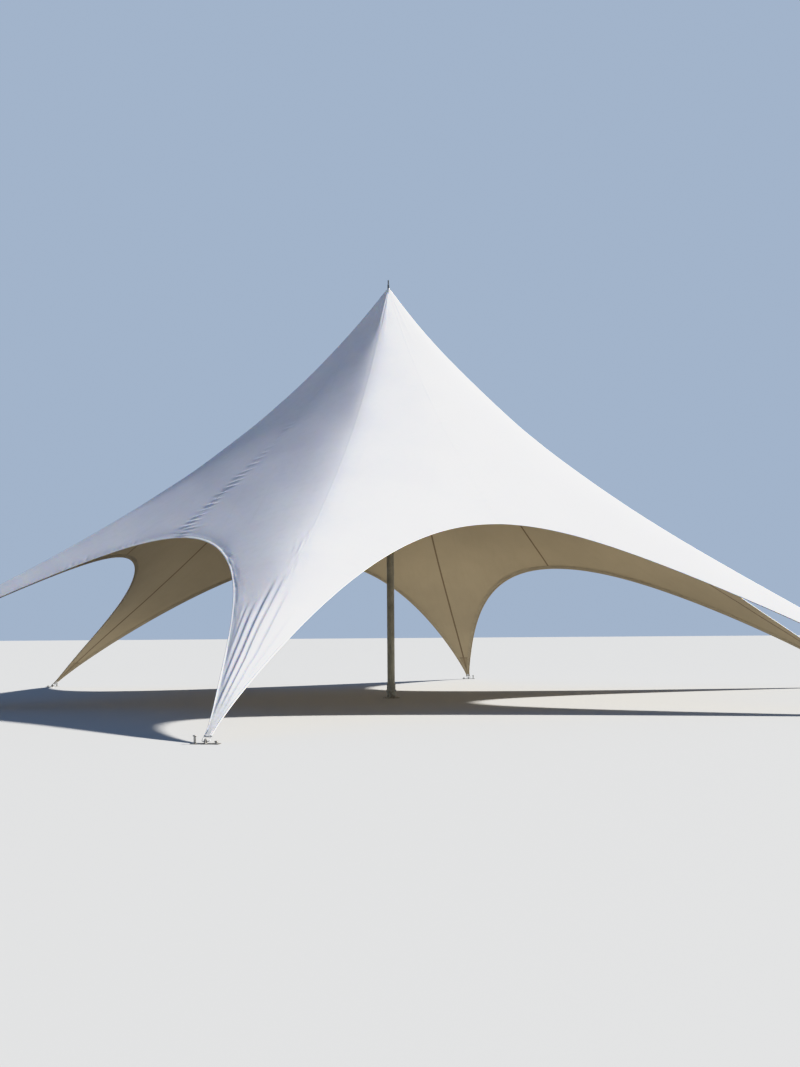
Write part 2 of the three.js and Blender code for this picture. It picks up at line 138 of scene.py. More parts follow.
def cloth_z(x, y, a):
    """Height of the cloth's middle surface in a leg's own frame, towards arch a."""
    r = np.hypot(x, y)
    t = np.abs(np.arctan2(y, x)) / A30
    t = np.where(t > 1, 2 - t, t)
    s = np.sin(np.pi * t / 2)
    wide = ridge_round(r)
    soft = t + wide * np.exp(-t / wide)
    facet = (_facet(soft) - _facet(wide)) / (1 - _facet(wide))
    n = r / H
    rv = R_ARCH / H
    return (
        ridge_z(r)
        - H * SAG * (n / rv) ** SAG_POWER * np.abs(s) ** SAG_ROUND
        - H * FACET * n * np.exp(-n / FACET_FADE) * facet
        + H * ARCH_UP[a] * (n / rv) ** 3 * s * s
        - hollow(x, y, a)
    )


def cloth_normal(x, y, a):
    e = 0.001
    dx = (cloth_z(x + e, y, a) - cloth_z(x - e, y, a)) / (2 * e)
    dy = (cloth_z(x, y + e, a) - cloth_z(x, y - e, a)) / (2 * e)
    n = np.stack([-dx, -dy, np.ones_like(dx)], -1)
    return n / np.linalg.norm(n, axis=-1, keepdims=True)


def hem(s, a):
    """Plan curve of the hem, s 0 at the leg's tip and 1 at the arch's crown."""
    rv = R_ARCH + ARCH_IN[a] * H
    B = R_TIP * S30
    b = B * (1 - s)
    q = (R_TIP * C30 - rv) / (B * B * (1 + HEM_BEND))
    d = rv + q * b * b * (1 + HEM_BEND * (b / B) ** 2)
    x = d * C30 + b * S30
    y = d * S30 - b * C30
    w = 0.036 * (1 - s) ** 3
    return x, np.sqrt(y * y + w * w)


# ---------------------------------------------------------------------------
# grid of one half leg, from its ridge to the valley or the hem of arch a
# ---------------------------------------------------------------------------
XC0 = R_ARCH * C30
SEGMENTS = [
    (R_HUB, 0.6, 64),
    (0.6, 1.3, 64),
    (1.3, 3.3, 320),
    (3.3, XC0 - 0.03, 64),
    (XC0 - 0.03, XC0, 8),
    (XC0, XC0 + 0.03, 8),
    (XC0 + 0.03, 4.6, 112),
    (4.6, 6.0, 112),
    (6.0, X_END, 160),
]
_x = [np.array([R_HUB])]
CROWN_ROW = 0
for lo, hi, n in SEGMENTS:
    _x.append(np.linspace(lo, hi, n + 1)[1:])
    if abs(hi - XC0) < 1e-9:
        CROWN_ROW = sum(len(v) for v in _x) - 1
    if abs(hi - 4.6) < 1e-9:
        LEG_ROW = sum(len(v) for v in _x) - 1
XR = np.concatenate(_x)
NR = len(XR) - 1


def rows_of(upper, lower):
    """Row numbers kept by a column: every upper-th row above the leg, every lower-th one on it."""
    return np.concatenate([np.arange(0, LEG_ROW, upper), np.arange(LEG_ROW, NR + 1, lower)])


# per kind of column, outer face and inner face
FINE, MIDDLE, COARSE = 0, 1, 2
ROWS = {
    0: [rows_of(1, 1), rows_of(4, 1), rows_of(8, 2)],
    1: [rows_of(4, 2), rows_of(8, 2), rows_of(16, 4)],
}
REACH = [4, 8, 16]

EDGE_VALLEY = np.array([0, 4, 9, 14.5, 17, 28, 42, 58, 76, 98, 125, 158, 200]) / 1000
EDGE_HEM = np.array([0, 1.8, 6.5, 12, 15, 27, 43, 46, 64, 88, 118, 155, 200]) / 1000
RIDGE = np.array([0, 5, 12, 14, 23, 35, 51, 71, 96]) / 1000
N_TWO, N_FOUR = 9, 26


def arch_curve(a):
    s = np.linspace(1, 0, 3001)
    hx, hy = hem(s, a)
    keep = hx <= X_END + 0.02
    return hx[keep], hy[keep]


_half = {}


def half_grid(a):
    if a in _half:
        return _half[a]
    xc = (R_ARCH + ARCH_IN[a] * H) * C30
    d = xc - XC0
    i = np.arange(NR + 1)
    xe = np.where(
        i <= CROWN_ROW,
        XR + d * (XR / XC0) ** 3,
        XR + d * ((X_END - XR) / (X_END - XC0)) ** 2,
    )
    hx, hy = arch_curve(a)
    W = np.where(i <= CROWN_ROW, xe * T30, np.interp(xe, hx, hy))
    slope = np.gradient(np.interp(xe, hx, hy), xe)
    sec = np.where(i <= CROWN_ROW, 1 / C30, np.minimum(np.sqrt(1 + slope**2), 2.0))
    kernel = np.ones(17) / 17
    sec = np.convolve(np.pad(sec, 8, mode="edge"), kernel, mode="valid")
    m = np.minimum(1, W / 0.9)
    mr = np.minimum(1, W / 0.6)
    k = smooth(CROWN_ROW - 6, CROWN_ROW + 14, i)[:, None]
    edge = (EDGE_VALLEY * (1 - k) + EDGE_HEM * k) * (sec * m / W)[:, None]
    phi_edge = 1 - edge  # from the edge inwards
    phi_ridge = RIDGE[None, :] * (mr / W)[:, None]
    lo, hi = phi_ridge[:, -1:], phi_edge[:, -1:]
    n_mid = N_TWO + N_FOUR
    f = np.arange(1, n_mid + 1) / (n_mid + 1)
    # cells get finer from the ridge side to the edge side
    f = f * 1.18 - 0.18 * f * f
    mid = lo + (hi - lo) * f[None, :]
    phi = np.concatenate([phi_ridge, mid, phi_edge[:, ::-1]], 1)
    steps = [COARSE] * (len(RIDGE) + N_FOUR) + [MIDDLE] * N_TWO + [FINE] * len(EDGE_VALLEY)
    x = XR[:, None] + (xe - XR)[:, None] * phi**2
    y = phi * W[:, None]
    # round the first rows about the mast
    w = 1 - smooth(R_HUB, 0.6, XR)[:, None]
    r = np.hypot(x, y)
    k = w * (x / r) + (1 - w)
    x, y = x * k, y * k
    # distance to the hem and place along it
    dist = np.full(x.shape, 9.0)
    along = np.zeros(x.shape)
    seg = np.hypot(np.diff(hx), np.diff(hy))
    arc = np.concatenate([[0], np.cumsum(seg)])
    far = x > 3.0
    px, py = x[far], y[far]
    best = np.full(px.shape, 9.0)
    where = np.zeros(px.shape)
    pick = slice(None, None, 4)
    cx, cy, ca = hx[pick], hy[pick], arc[pick]
    for c0 in range(0, len(px), 4000):
        sl = slice(c0, c0 + 4000)
        dx = px[sl, None] - cx[None, :]
        dy = py[sl, None] - cy[None, :]
        q = dx * dx + dy * dy
        j = q.argmin(1)
        j0 = np.clip(j - 1, 0, len(cx) - 2)
        out_d = np.full(len(j), 9.0)
        out_s = np.zeros(len(j))
        for jj in (j0, np.clip(j, 0, len(cx) - 2)):
            ax, ay = cx[jj], cy[jj]
            bx, by = cx[jj + 1] - ax, cy[jj + 1] - ay
            t = np.clip(((px[sl] - ax) * bx + (py[sl] - ay) * by) / (bx * bx + by * by), 0, 1)
            dd = np.hypot(px[sl] - ax - t * bx, py[sl] - ay - t * by)
            better = dd < out_d
            out_d = np.where(better, dd, out_d)
            out_s = np.where(better, ca[jj] + t * (ca[jj + 1] - ca[jj]), out_s)
        best[sl] = out_d
        where[sl] = out_s
    dist[far] = best
    along[far] = where
    dist[CROWN_ROW:, -1] = 0.0
    _half[a] = dict(x=x, y=y, phi=phi, W=W, dist=dist, along=along, steps=steps, xe=xe)
    return _half[a]


# ---------------------------------------------------------------------------
# relief: seams, puckers, folds
# ---------------------------------------------------------------------------
def valley_puckers(u, c, arch):
    """Short slanting tucks across a valley seam; c is signed, so they run on through the seam."""
    rng = np.random.RandomState(1000 + arch)
    out = np.zeros_like(u)
    strong = 1.0 if arch == 5 else 0.42
    tucks = []
    p = 1.2
    while p < 4.02:
        far = float(smooth(2.3, 3.3, p))
        tucks.append((
            p,
            rng.uniform(-0.020, 0.020) * (0.5 + far),
            (0.066 + 0.022 * far) * rng.uniform(0.8, 1.25),
            strong * (0.0018 + 0.0064 * far) * rng.uniform(0.6, 1.2),
            rng.uniform(0.0190, 0.0240),
            -rng.uniform(0.12, 0.36),
        ))
        p += rng.uniform(0.088, 0.128)
    tucks.append((2.16, 0.0, 0.06, strong * 0.0055, 0.019, -0.2))
    # longer ones just above the crown
    tucks.append((4.035, -0.15, 0.13, strong * 0.0052, 0.017, -0.12))
    tucks.append((4.100, -0.17, 0.13, strong * 0.0060, 0.017, -0.03))
    tucks.append((4.150, -0.12, 0.13, strong * 0.0060, 0.016, 0.02))
    for p, c0, reach, size, w, lean in tucks:
        q = u + lean * c - p
        near = (np.abs(q) < 0.12) & (np.abs(c) < 0.45)
        cc, qq = c[near], q[near]
        g = np.exp(-(np.abs((cc - c0) / reach) ** 2.4)) * (1 - 0.35 * np.exp(-((cc / 0.010) ** 2)))
        out[near] += size * g * (np.exp(-((qq / w) ** 2)) - 0.30 * np.exp(-(((qq + 1.6 * w) / w) ** 2)))
    return out


def hem_puckers(s, d, seed):
    """Short tucks square to the hem; s is signed, 0 at the crown."""
    rng = np.random.RandomState(seed)
    out = np.zeros_like(s)
    p = -4.9
    while p < 4.9:
        a = abs(p)
        size = (
            0.0018
            + 0.0030 * math.exp(-(((a - 1.1) / 0.8) ** 2))
        ) * (1.0 if a < 3.2 else 0.5) * rng.uniform(0.3, 1.35)
        w = rng.uniform(0.012, 0.022)
        reach = rng.uniform(0.05, 0.15)
        lean = rng.uniform(-0.45, 0.45)
        q = s + lean * d - p
        near = (np.abs(q) < 0.1) & (d < 0.4)
        dd = d[near]
        g = (1 - np.exp(-(((dd - 0.012) / 0.022) ** 2))) * (dd > 0.012) * np.exp(-((dd / reach) ** 2))
        out[near] -= size * g * np.exp(-((q[near] / w) ** 2))
        p += rng.uniform(0.055, 0.15) * (1.0 if a < 2.6 else 1.7)
    return out


def hem_lines(s, d, seed):
    """Dashes that run along the hem's long straight runs, and the groove behind its cord in the tight bend."""
    rng = np.random.RandomState(seed)
    out = np.zeros_like(s)
    for sign in (-1, 1):
        for d0 in (0.040, 0.066, 0.095, 0.130):
            p = 1.2 + rng.uniform(0, 0.5)
            while p < 4.4:
                long = rng.uniform(0.07, 0.2)
                size = rng.uniform(0.0010, 0.0030) * (1 - 0.5 * smooth(3.0, 4.2, p)) * (1 - 2.5 * max(d0 - 0.066, 0) / 0.15)
                w = rng.uniform(0.0080, 0.0110)
                off = d0 + rng.uniform(-0.012, 0.012)
                q = d - off - 0.06 * (np.abs(s) - p)
                near = (np.sign(s) == sign) & (np.abs(np.abs(s) - p) < 3 * long) & (np.abs(q) < 0.06)
                out[near] += (
                    size
                    * np.exp(-(((np.abs(s[near]) - p) / long) ** 2))
                    * (np.exp(-((q[near] / w) ** 2)) - 0.6 * np.exp(-(((q[near] + 2 * w) / (1.2 * w)) ** 2)))
                )
                p += rng.uniform(0.16, 0.5)
        # folds that lie along the crown
        for d0, size, w in ((0.075, 0.0012, 0.016), (0.155, 0.0010, 0.018)):
            c0 = rng.uniform(0.10, 0.18) * sign
            q = d - d0 - 0.05 * (np.abs(s) - 0.1)
            out -= size * np.exp(-(((s - c0) / 0.2) ** 2)) * np.exp(-((q / w) ** 2)) * smooth(0, 0.02, np.abs(s))
    a = np.abs(s)
    bend = np.exp(-(((a - 1.2) / 0.42) ** 2))
    out -= 0.0026 * bend * np.exp(-(((d - 0.032) / 0.012) ** 2))
    return out


# long folds that gather towards a leg's tip: crest lines as (x, y), height, width of the steep flank, width of the gentle one
FOLDS = [
    dict(line=[(5.6, -0.044), (5.8, -0.040), (6.2, -0.036), (6.5, -0.034), (6.8, -0.030), (7.08, -0.020), (7.34, -0.004), (7.74, 0.0), (8.1, -0.003)], size=0.0085, w1=0.0100, w2=0.055, x0=5.62, x1=8.18, rise=0.45),
    dict(line=[(5.7, -0.132), (6.0, -0.127), (6.3, -0.123), (6.63, -0.110), (6.93, -0.093), (7.18, -0.077), (7.48, -0.067), (7.70, -0.060), (7.88, -0.055), (8.02, -0.050), (8.2, -0.038)], size=0.0115, w1=0.0135, w2=0.060, x0=5.65, x1=8.25, rise=0.6),
    dict(line=[(6.0, -0.245), (6.45, -0.217), (6.75, -0.189), (7.0, -0.168), (7.17, -0.156), (7.32, -0.142), (7.48, -0.130), (7.67, -0.110), (7.9, -0.080)], size=0.0085, w1=0.0125, w2=0.055, x0=6.1, x1=7.95, rise=0.5),
    dict(line=[(5.9, 0.078), (6.24, 0.081), (6.53, 0.081), (6.83, 0.084), (7.08, 0.080), (7.2, 0.084), (7.34, 0.077), (7.44, 0.066), (7.63, 0.060), (7.92, 0.045), (8.1, 0.034)], size=0.0055, w1=0.012, w2=0.06, x0=5.85, x1=8.2, rise=0.7),
    dict(line=[(6.2, -0.315), (6.45, -0.293), (6.78, -0.257), (7.1, -0.222), (7.45, -0.172)], size=0.0045, w1=0.0090, w2=0.04, x0=6.1, x1=7.55, rise=0.35),
    dict(line=[(6.2, -0.385), (6.45, -0.348), (6.7, -0.306), (6.93, -0.268), (7.25, -0.220)], size=0.0040, w1=0.0090, w2=0.04, x0=6.1, x1=7.35, rise=0.35),
    dict(line=[(6.4, 0.245), (6.8, 0.205), (7.2, 0.160), (7.6, 0.110)], size=0.0030, w1=0.014, w2=0.05, x0=6.3, x1=7.7, rise=0.5),
]


def leg_folds(x, y, leg):
    """Displacement of leg-long features, y signed, the same on both halves."""
    rng = np.random.RandomState(900 + leg)
    flip = 1.0 if leg in (0, 2, 5) else -1.0
    out = np.zeros_like(x)
    for n, f in enumerate(FOLDS):
        jitter = 0.0 if leg == 0 else 1.0
        scale = 1 + jitter * rng.uniform(-0.12, 0.12)
        shift = jitter * rng.uniform(-0.25, 0.25)
        size = f["size"] * (1.0 if leg == 0 else (0.3 if leg in (3, 4) else 0.6)) * (1 + jitter * rng.uniform(-0.3, 0.1))
        px = np.array([p[0] for p in f["line"]])
        py = np.array([p[1] for p in f["line"]]) * scale
        y0 = np.interp(x, px, py)
        # keep a smooth line past both ends of the table
        q = (y * flip) - y0
        env = smooth(f["x0"] + shift, f["x0"] + shift + f["rise"], x) * (1 - smooth(f["x1"] - 0.3, f["x1"], x))
        near = (env > 0) & (np.abs(q) < 0.4)
        qq = q[near]
        prof = 0.5 * (1 + np.tanh(qq / f["w1"])) * np.exp(-np.maximum(qq, 0) / f["w2"])
        prof -= 0.35 * np.exp(-(((qq + 2.2 * f["w1"]) / (1.8 * f["w1"])) ** 2))
        out[near] += size * env[near] * prof
    # short strokes beside the ridge where the gathering starts
    for n in range(6):
        xs, ys, long, size, w = (
            (5.13, -0.036, 0.16, 0.0046, 0.016),
            (5.15, -0.094, 0.085, 0.0034, 0.014),
            (5.42, -0.062, 0.10, 0.0026, 0.014),
            (4.80, -0.020, 0.10, 0.0018, 0.014),
            (5.55, 0.030, 0.12, 0.0016, 0.014),
            (4.98, -0.130, 0.08, 0.0014, 0.013),
        )[n]
        if leg:
            xs, ys, size = xs + rng.uniform(-0.2, 0.2), ys + rng.uniform(-0.02, 0.02), size * rng.uniform(0.3, 0.7)
        q = y * flip - ys - 0.03 * (x - xs)
        near = (np.abs(x - xs) < 3 * long) & (np.abs(q) < 0.06)
        out[near] += size * np.exp(-(((x[near] - xs) / long) ** 2)) * (
            np.exp(-((q[near] / w) ** 2)) - 0.6 * np.exp(-(((q[near] + 2 * w) / w) ** 2))
        )
    # tuck beside the ridge seam below the peak
    far = x < 0.9
    xx, q = x[far], y[far] * flip
    end = 0.64 + (0 if leg == 0 else rng.uniform(-0.14, 0.1))
    env = smooth(0.07, 0.2, xx) * (1 - smooth(end - 0.16, end, xx))
    wide = 0.006 + 0.026 * smooth(0.1, 0.4, xx)
    size = 1.0 if leg == 0 else 0.4
    lap = 0.0034 * 0.5 * (1 + np.tanh((q + wide) / 0.0035)) + 0.0032 * 0.5 * (1 + np.tanh((q - 0.0075) / 0.0026))
    out[far] += size * env * (lap - 0.0066 * np.clip((q + wide) / (wide + 0.004), 0, 1))
    # soft creases that radiate from the peak
    ang = np.arctan2(y, x) / A30
    ring = smooth(0.04, 0.12, x) * (1 - smooth(0.35, 0.95, x))
    for n in range(4):
        a0 = rng.uniform(-0.85, 0.85)
        aw = rng.uniform(0.05, 0.10)
        out += 0.0022 * rng.uniform(0.4, 1.0) * ring * np.exp(-(((ang - a0) / aw) ** 2)) * (np.abs(ang) < 0.97)
    return out


def slow_waves(wx, wy, seed=5):
    """Very faint unevenness of the stretched cloth, in the tent's own frame."""
    rng = np.random.RandomState(seed)
    out = np.zeros_like(wx)
    for _ in range(14):
        lam = rng.uniform(0.5, 1.6)
        th = rng.uniform(0, math.pi)
        out += 0.00055 * lam * np.sin(2 * math.pi * (wx * math.cos(th) + wy * math.sin(th)) / lam + rng.uniform(0, 6.28))
    return out


BEAD = 0.0070  # radius of the corded hem
SHEET_HALF = 0.0009


def turn_leg(p, leg):
    """From a leg's own frame to the tent's."""
    t = -math.pi / 2 + math.pi / 3 * leg
    return np.stack(
        [
            p[..., 0] * math.cos(t) - p[..., 1] * math.sin(t),
            p[..., 0] * math.sin(t) + p[..., 1] * math.cos(t),
            p[..., 2],
        ],
        -1,
    )


def fine_relief(leg, side, x, y, phi, dist, along, wide):
    """Puckers, folds and tucks: how far the cloth's middle stands out from its smooth form."""
    a = leg if side > 0 else (leg + 5) % 6
    u = x * C30 + y * S30
    c = x * S30 - y * C30
    # signed, so that both halves of an arch share one run of places along its hem
    s = along * (-1.0 if side > 0 else 1.0)
    fade = smooth(0.0, 0.5, phi)
    d = valley_puckers(u, np.maximum(c, 0) * side, a) * fade
    d = d * smooth(0.012, 0.05, dist)
    keep = smooth(0.25, 0.6, wide)
    d = d + hem_puckers(s, dist, 2000 + a) * fade * keep
    d = d + hem_lines(s, dist, 3000 + a) * fade * (0.25 + 0.75 * keep)
    # pull of the seam's thread along the valley
    d = d - 0.0006 * np.exp(-((c / 0.04) ** 2)) * smooth(0.02, 0.1, dist)
    return d + leg_folds(x, y * side, leg)


def broad_relief(leg, side, x, y, dist):
    w = turn_leg(np.stack([x, y * side, 0 * x], -1), leg)
    return slow_waves(w[..., 0], w[..., 1]) * smooth(0.2, 1.2, x) * smooth(0.03, 0.2, dist)


def leg_half(leg, side):
    """World points of the outer and inner face of one half leg, with what the materials read."""
    a = leg if side > 0 else (leg + 5) % 6
    g = half_grid(a)
    x, y, phi, dist, along = g["x"], g["y"], g["phi"], g["dist"], g["along"]
    z = cloth_z(x, y, a)
    n = cloth_normal(x, y, a)
    u = x * C30 + y * S30
    c = x * S30 - y * C30
    ys = y * side
    fine = fine_relief(leg, side, x, y, phi, dist, along, g["W"][:, None] + 0 * x)
    broad = broad_relief(leg, side, x, y, dist)
    d = fine + broad
    # thickness: sheet, felled seams, corded and banded hem, doubled corner
    h = np.full_like(x, SHEET_HALF)
    h += 0.0008 * (1 - smooth(0.0135, 0.0150, c)) * smooth(0.0, 0.02, dist)
    h += 0.0003 * (1 - smooth(0.0120, 0.0140, y)) * smooth(0.1, 0.3, x) * (x < X_SEAM)
    h += 0.0006 * (1 - smooth(0.0430, 0.0460, dist))
    h += 0.0010 * smooth(X_SEAM - 0.004, X_SEAM + 0.004, x)
    h += 0.0009 * np.exp(-(((x - X_SEAM - 0.012) / 0.010) ** 2))
    tip = 1 - 0.35 * smooth(8.1, X_END, x)
    b = np.clip(BEAD**2 - (dist / tip - BEAD) ** 2, 0, None) ** 0.5 * tip
    h = np.maximum(h, np.where(dist < 2 * BEAD * tip, b, 0))
    h = np.where(dist < 1e-9, 0.0006, h)
    loc = np.stack([x, ys, z], -1)
    nn = n.copy()
    nn[..., 1] *= side
    outer = loc + nn * (d + h)[..., None]
    # the inner face has fewer rows, so it keeps under the deepest place between them
    under = fine - h
    for j, kind in enumerate(g["steps"]):
        col = under[:, j].copy()
        for k in range(1, REACH[kind] + 1):
            col[k:] = np.minimum(col[k:], under[:-k, j])
            col[:-k] = np.minimum(col[:-k], under[k:, j])
        w = smooth(0.0, 0.02, dist[:, j])
        under[:, j] = under[:, j] * (1 - w) + col * w
    inner = loc + nn * (under + broad)[..., None]

    facts = dict(
        seam=np.minimum(np.abs(c), y),
        run=np.where(np.abs(c) < y, u, x),
        hemd=np.minimum(dist, 0.5),
        hems=along,
        cx=x,
        cy=ys,
    )
    return turn_leg(outer, leg), turn_leg(inner, leg), facts, g["steps"]


FACTS = ("seam", "run", "hemd", "hems", "cx", "cy")


def strip(A, B, ra, rb, add, flip):
    """Faces between column A, the coarser, and column B, whose rows include A's."""
    pos = np.searchsorted(rb, ra)
    for i in range(len(ra) - 1):
        p, q = pos[i], pos[i + 1]
        if q - p == 1:
            add(((A[ra[i]], A[ra[i + 1]], B[rb[q]], B[rb[p]]),), flip)
            continue
        m = (p + q) // 2
        for k in range(p, m):
            add(((A[ra[i]], B[rb[k + 1]], B[rb[k]]),), flip)
        add(((A[ra[i]], A[ra[i + 1]], B[rb[m]]),), flip)
        for k in range(m, q):
            add(((A[ra[i + 1]], B[rb[k + 1]], B[rb[k]]),), flip)


def build_leg(leg):
    name = f"canopy_leg_{LEGS[leg]}"
    halves = {side: leg_half(leg, side) for side in (1, -1)}
    steps = halves[1][3]
    nc = len(steps)
    points, facts = [], {k: [] for k in FACTS}
    index = {}
    count = 0
    for layer in (0, 1):
        for side in (1, -1):
            grid, info = halves[side][layer], halves[side][2]
            for j in range(nc):
                if side == -1 and j == 0:
                    index[(layer, side, j)] = index[(layer, 1, 0)]
                    continue
                rows = ROWS[layer][steps[j]]
                p = grid[rows, j]
                if j == 0:
                    p = (p + halves[-1][layer][rows, 0]) / 2
                points.append(p)
                for k in FACTS:
                    facts[k].append(info[k][rows, j])
                ids = np.full(NR + 1, -1)
                ids[rows] = count + np.arange(len(rows))
                index[(layer, side, j)] = ids
                count += len(rows)
        if layer == 0:
            half_count = count
    co = np.concatenate(points)
    quads, tris = [], []

    def add(face, flip):
        for f in face:
            (quads if len(f) == 4 else tris).append(f[::-1] if flip else f)

    for layer in (0, 1):
        for side in (1, -1):
            flip = (side == -1) != (layer == 1)
            for j in range(nc - 1):
                strip(
                    index[(layer, side, j)],
                    index[(layer, side, j + 1)],
                    ROWS[layer][steps[j]],
                    ROWS[layer][steps[j + 1]],
                    add,
                    flip,
                )
    for side in (1, -1):
        strip(
            index[(1, side, nc - 1)],
            index[(0, side, nc - 1)],
            ROWS[1][steps[nc - 1]],
            ROWS[0][steps[nc - 1]],
            add,
            side == 1,
        )
        for row, flip in ((0, side == 1), (NR, side == -1)):
            t = np.array([index[(0, side, j)][row] for j in range(nc)])
            u = np.array([index[(1, side, j)][row] for j in range(nc)])
            add(list(zip(t[:-1], t[1:], u[1:], u[:-1])), flip)
    q = np.array(quads)
    t = np.array(tris)
    loops = np.concatenate([q.ravel(), t.ravel()])
    start = np.concatenate([np.arange(len(q)) * 4, len(q) * 4 + np.arange(len(t)) * 3])
    total = np.concatenate([np.full(len(q), 4), np.full(len(t), 3)])
    me = bpy.data.meshes.new(name)
    me.vertices.add(len(co))
    me.vertices.foreach_set("co", co.astype(np.float32).ravel())
    me.loops.add(len(loops))
    me.loops.foreach_set("vertex_index", loops.astype(np.int32))
    me.polygons.add(len(start))
    me.polygons.foreach_set("loop_start", start.astype(np.int32))
    me.polygons.foreach_set("loop_total", total.astype(np.int32))
    me.update(calc_edges=True)
    allf = {k: np.concatenate(v) for k, v in facts.items()}
    for k in FACTS:
        at = me.attributes.new("tent_" + k, "FLOAT", "POINT")
        at.data.foreach_set("value", allf[k].astype(np.float32))
    # faces: 0 outer, 1 inner
    first = loops[start]
    layer_of = (first >= half_count).astype(np.int32)
    me.polygons.foreach_set("material_index", layer_of)
    me.polygons.foreach_set("use_smooth", np.ones(len(start), bool))
    uv = me.uv_layers.new(name="cloth")
    xy = np.stack([allf["cy"][loops], allf["cx"][loops]], 1)
    uv.data.foreach_set("uv", xy.astype(np.float32).ravel())
    bake = me.uv_layers.new(name="OFBake")
    lay = (loops >= half_count).astype(float)
    uvb = np.stack([0.25 + 0.5 * lay + allf["cy"][loops] / 2.4 * 0.24, 0.01 + allf["cx"][loops] / 8.5 * 0.97], 1)
    bake.data.foreach_set("uv", uvb.astype(np.float32).ravel())
    me.validate()
    ob = bpy.data.objects.new(name, me)
    SCENE.collection.objects.link(ob)
    return ob


# ---------------------------------------------------------------------------
# materials
# ---------------------------------------------------------------------------
class Tree:
    def __init__(self, name):
        self.mat = bpy.data.materials.new(name)
        self.mat.use_nodes = True
        self.t = self.mat.node_tree
        self.bsdf = self.t.nodes["Principled BSDF"]

    def node(self, kind, **props):
        n = self.t.nodes.new(kind)
        for k, v in props.items():
            setattr(n, k, v)
        return n

    def link(self, a, b):
        self.t.links.new(a, b)

    def put(self, socket, v):
        if isinstance(v, bpy.types.NodeSocket):
            self.link(v, socket)
        elif v is not None:
            socket.default_value = v

    def math(self, op, a, b=None, c=None, clamp=False):
        n = self.node("ShaderNodeMath", operation=op, use_clamp=clamp)
        self.put(n.inputs[0], a)
        if b is not None:
            self.put(n.inputs[1], b)
        if c is not None:
            self.put(n.inputs[2], c)
        return n.outputs[0]

    def attr(self, name):
        n = self.node("ShaderNodeAttribute", attribute_name=name)
        return n.outputs["Fac"]

    def coords(self, what="Object"):
        return self.node("ShaderNodeTexCoord").outputs[what]

    def uv(self, name):
        return self.node("ShaderNodeUVMap", uv_map=name).outputs["UV"]

    def scaled(self, vec, scale, offset=(0, 0, 0)):
        n = self.node("ShaderNodeMapping")
        self.link(vec, n.inputs["Vector"])
        n.inputs["Scale"].default_value = scale
        n.inputs["Location"].default_value = offset
        return n.outputs[0]

    def noise(self, vec, scale, detail=3.0, rough=0.5, distort=0.0):
        n = self.node("ShaderNodeTexNoise")
        self.link(vec, n.inputs["Vector"])
        n.inputs["Scale"].default_value = scale
        n.inputs["Detail"].default_value = detail
        n.inputs["Roughness"].default_value = rough
        n.inputs["Distortion"].default_value = distort
        return n.outputs["Fac"]

    def ramp(self, fac, lo, hi, to_lo=0.0, to_hi=1.0):
        n = self.node("ShaderNodeMapRange", interpolation_type="SMOOTHSTEP")
        self.link(fac, n.inputs["Value"])
        for k, v in zip(("From Min", "From Max", "To Min", "To Max"), (lo, hi, to_lo, to_hi)):
            n.inputs[k].default_value = v
        return n.outputs["Result"]

    def mix(self, fac, a, b, blend="MIX"):
        n = self.node("ShaderNodeMix", data_type="RGBA", blend_type=blend)
        self.put(n.inputs["Factor"], fac)
        for sock, v in ((n.inputs[6], a), (n.inputs[7], b)):
            if isinstance(v, (tuple, list)):
                v = (*v[:3], 1.0)
            self.put(sock, v)
        return n.outputs[2]

    def separate(self, vec):
        n = self.node("ShaderNodeSeparateXYZ")
        self.link(vec, n.inputs[0])
        return n.outputs

    def bump(self, height, strength, distance, normal=None):
        n = self.node("ShaderNodeBump")
        n.inputs["Strength"].default_value = strength
        n.inputs["Distance"].default_value = distance
        self.link(height, n.inputs["Height"])
        if normal is not None:
            self.link(normal, n.inputs["Normal"])
        return n.outputs[0]

    def line(self, value, at, width):
        """1 where value is within width of at, 0 away from it."""
        d = self.math("ABSOLUTE", self.math("SUBTRACT", value, at))
        return self.ramp(d, width * 0.6, width * 1.4, 1.0, 0.0)

    def finish(self, color, rough, metal=0.0, normal=None, specular=0.5, **more):
        b = self.bsdf
        for sock, v in ((b.inputs["Base Color"], color), (b.inputs["Roughness"], rough), (b.inputs["Metallic"], metal)):
            if isinstance(v, (tuple, list)):
                v = (*v[:3], 1.0)
            self.put(sock, v)
        b.inputs["Specular IOR Level"].default_value = specular
        for k, v in more.items():
            b.inputs[k.replace("_", " ")].default_value = v
        if normal is not None:
            self.link(normal, b.inputs["Normal"])
        return self.mat


def stitches(m, seam, run, hemd, hems):
    """Rows of stitches beside the seams and inside the hem band, 0 to 1."""
    dash = m.ramp(m.math("PINGPONG", m.math("MULTIPLY", run, 1.0), 0.0028), 0.0006, 0.0012)
    dash2 = m.ramp(m.math("PINGPONG", m.math("MULTIPLY", hems, 1.0), 0.0028), 0.0006, 0.0012)
    rows = m.math("MAXIMUM", m.line(seam, 0.0045, 0.0006), m.line(seam, 0.0110, 0.0006))
    rows2 = m.math("MAXIMUM", m.line(hemd, 0.0235, 0.0006), m.line(hemd, 0.0400, 0.0006))
    return m.math("MAXIMUM", m.math("MULTIPLY", rows, dash), m.math("MULTIPLY", rows2, dash2))


def weave(m, uv, pitch=0.0013):
    s = m.separate(uv)
    a = m.math("SINE", m.math("MULTIPLY", s[0], 2 * math.pi / pitch))
    b = m.math("SINE", m.math("MULTIPLY", s[1], 2 * math.pi / pitch))
    return m.math("MULTIPLY", a, b)


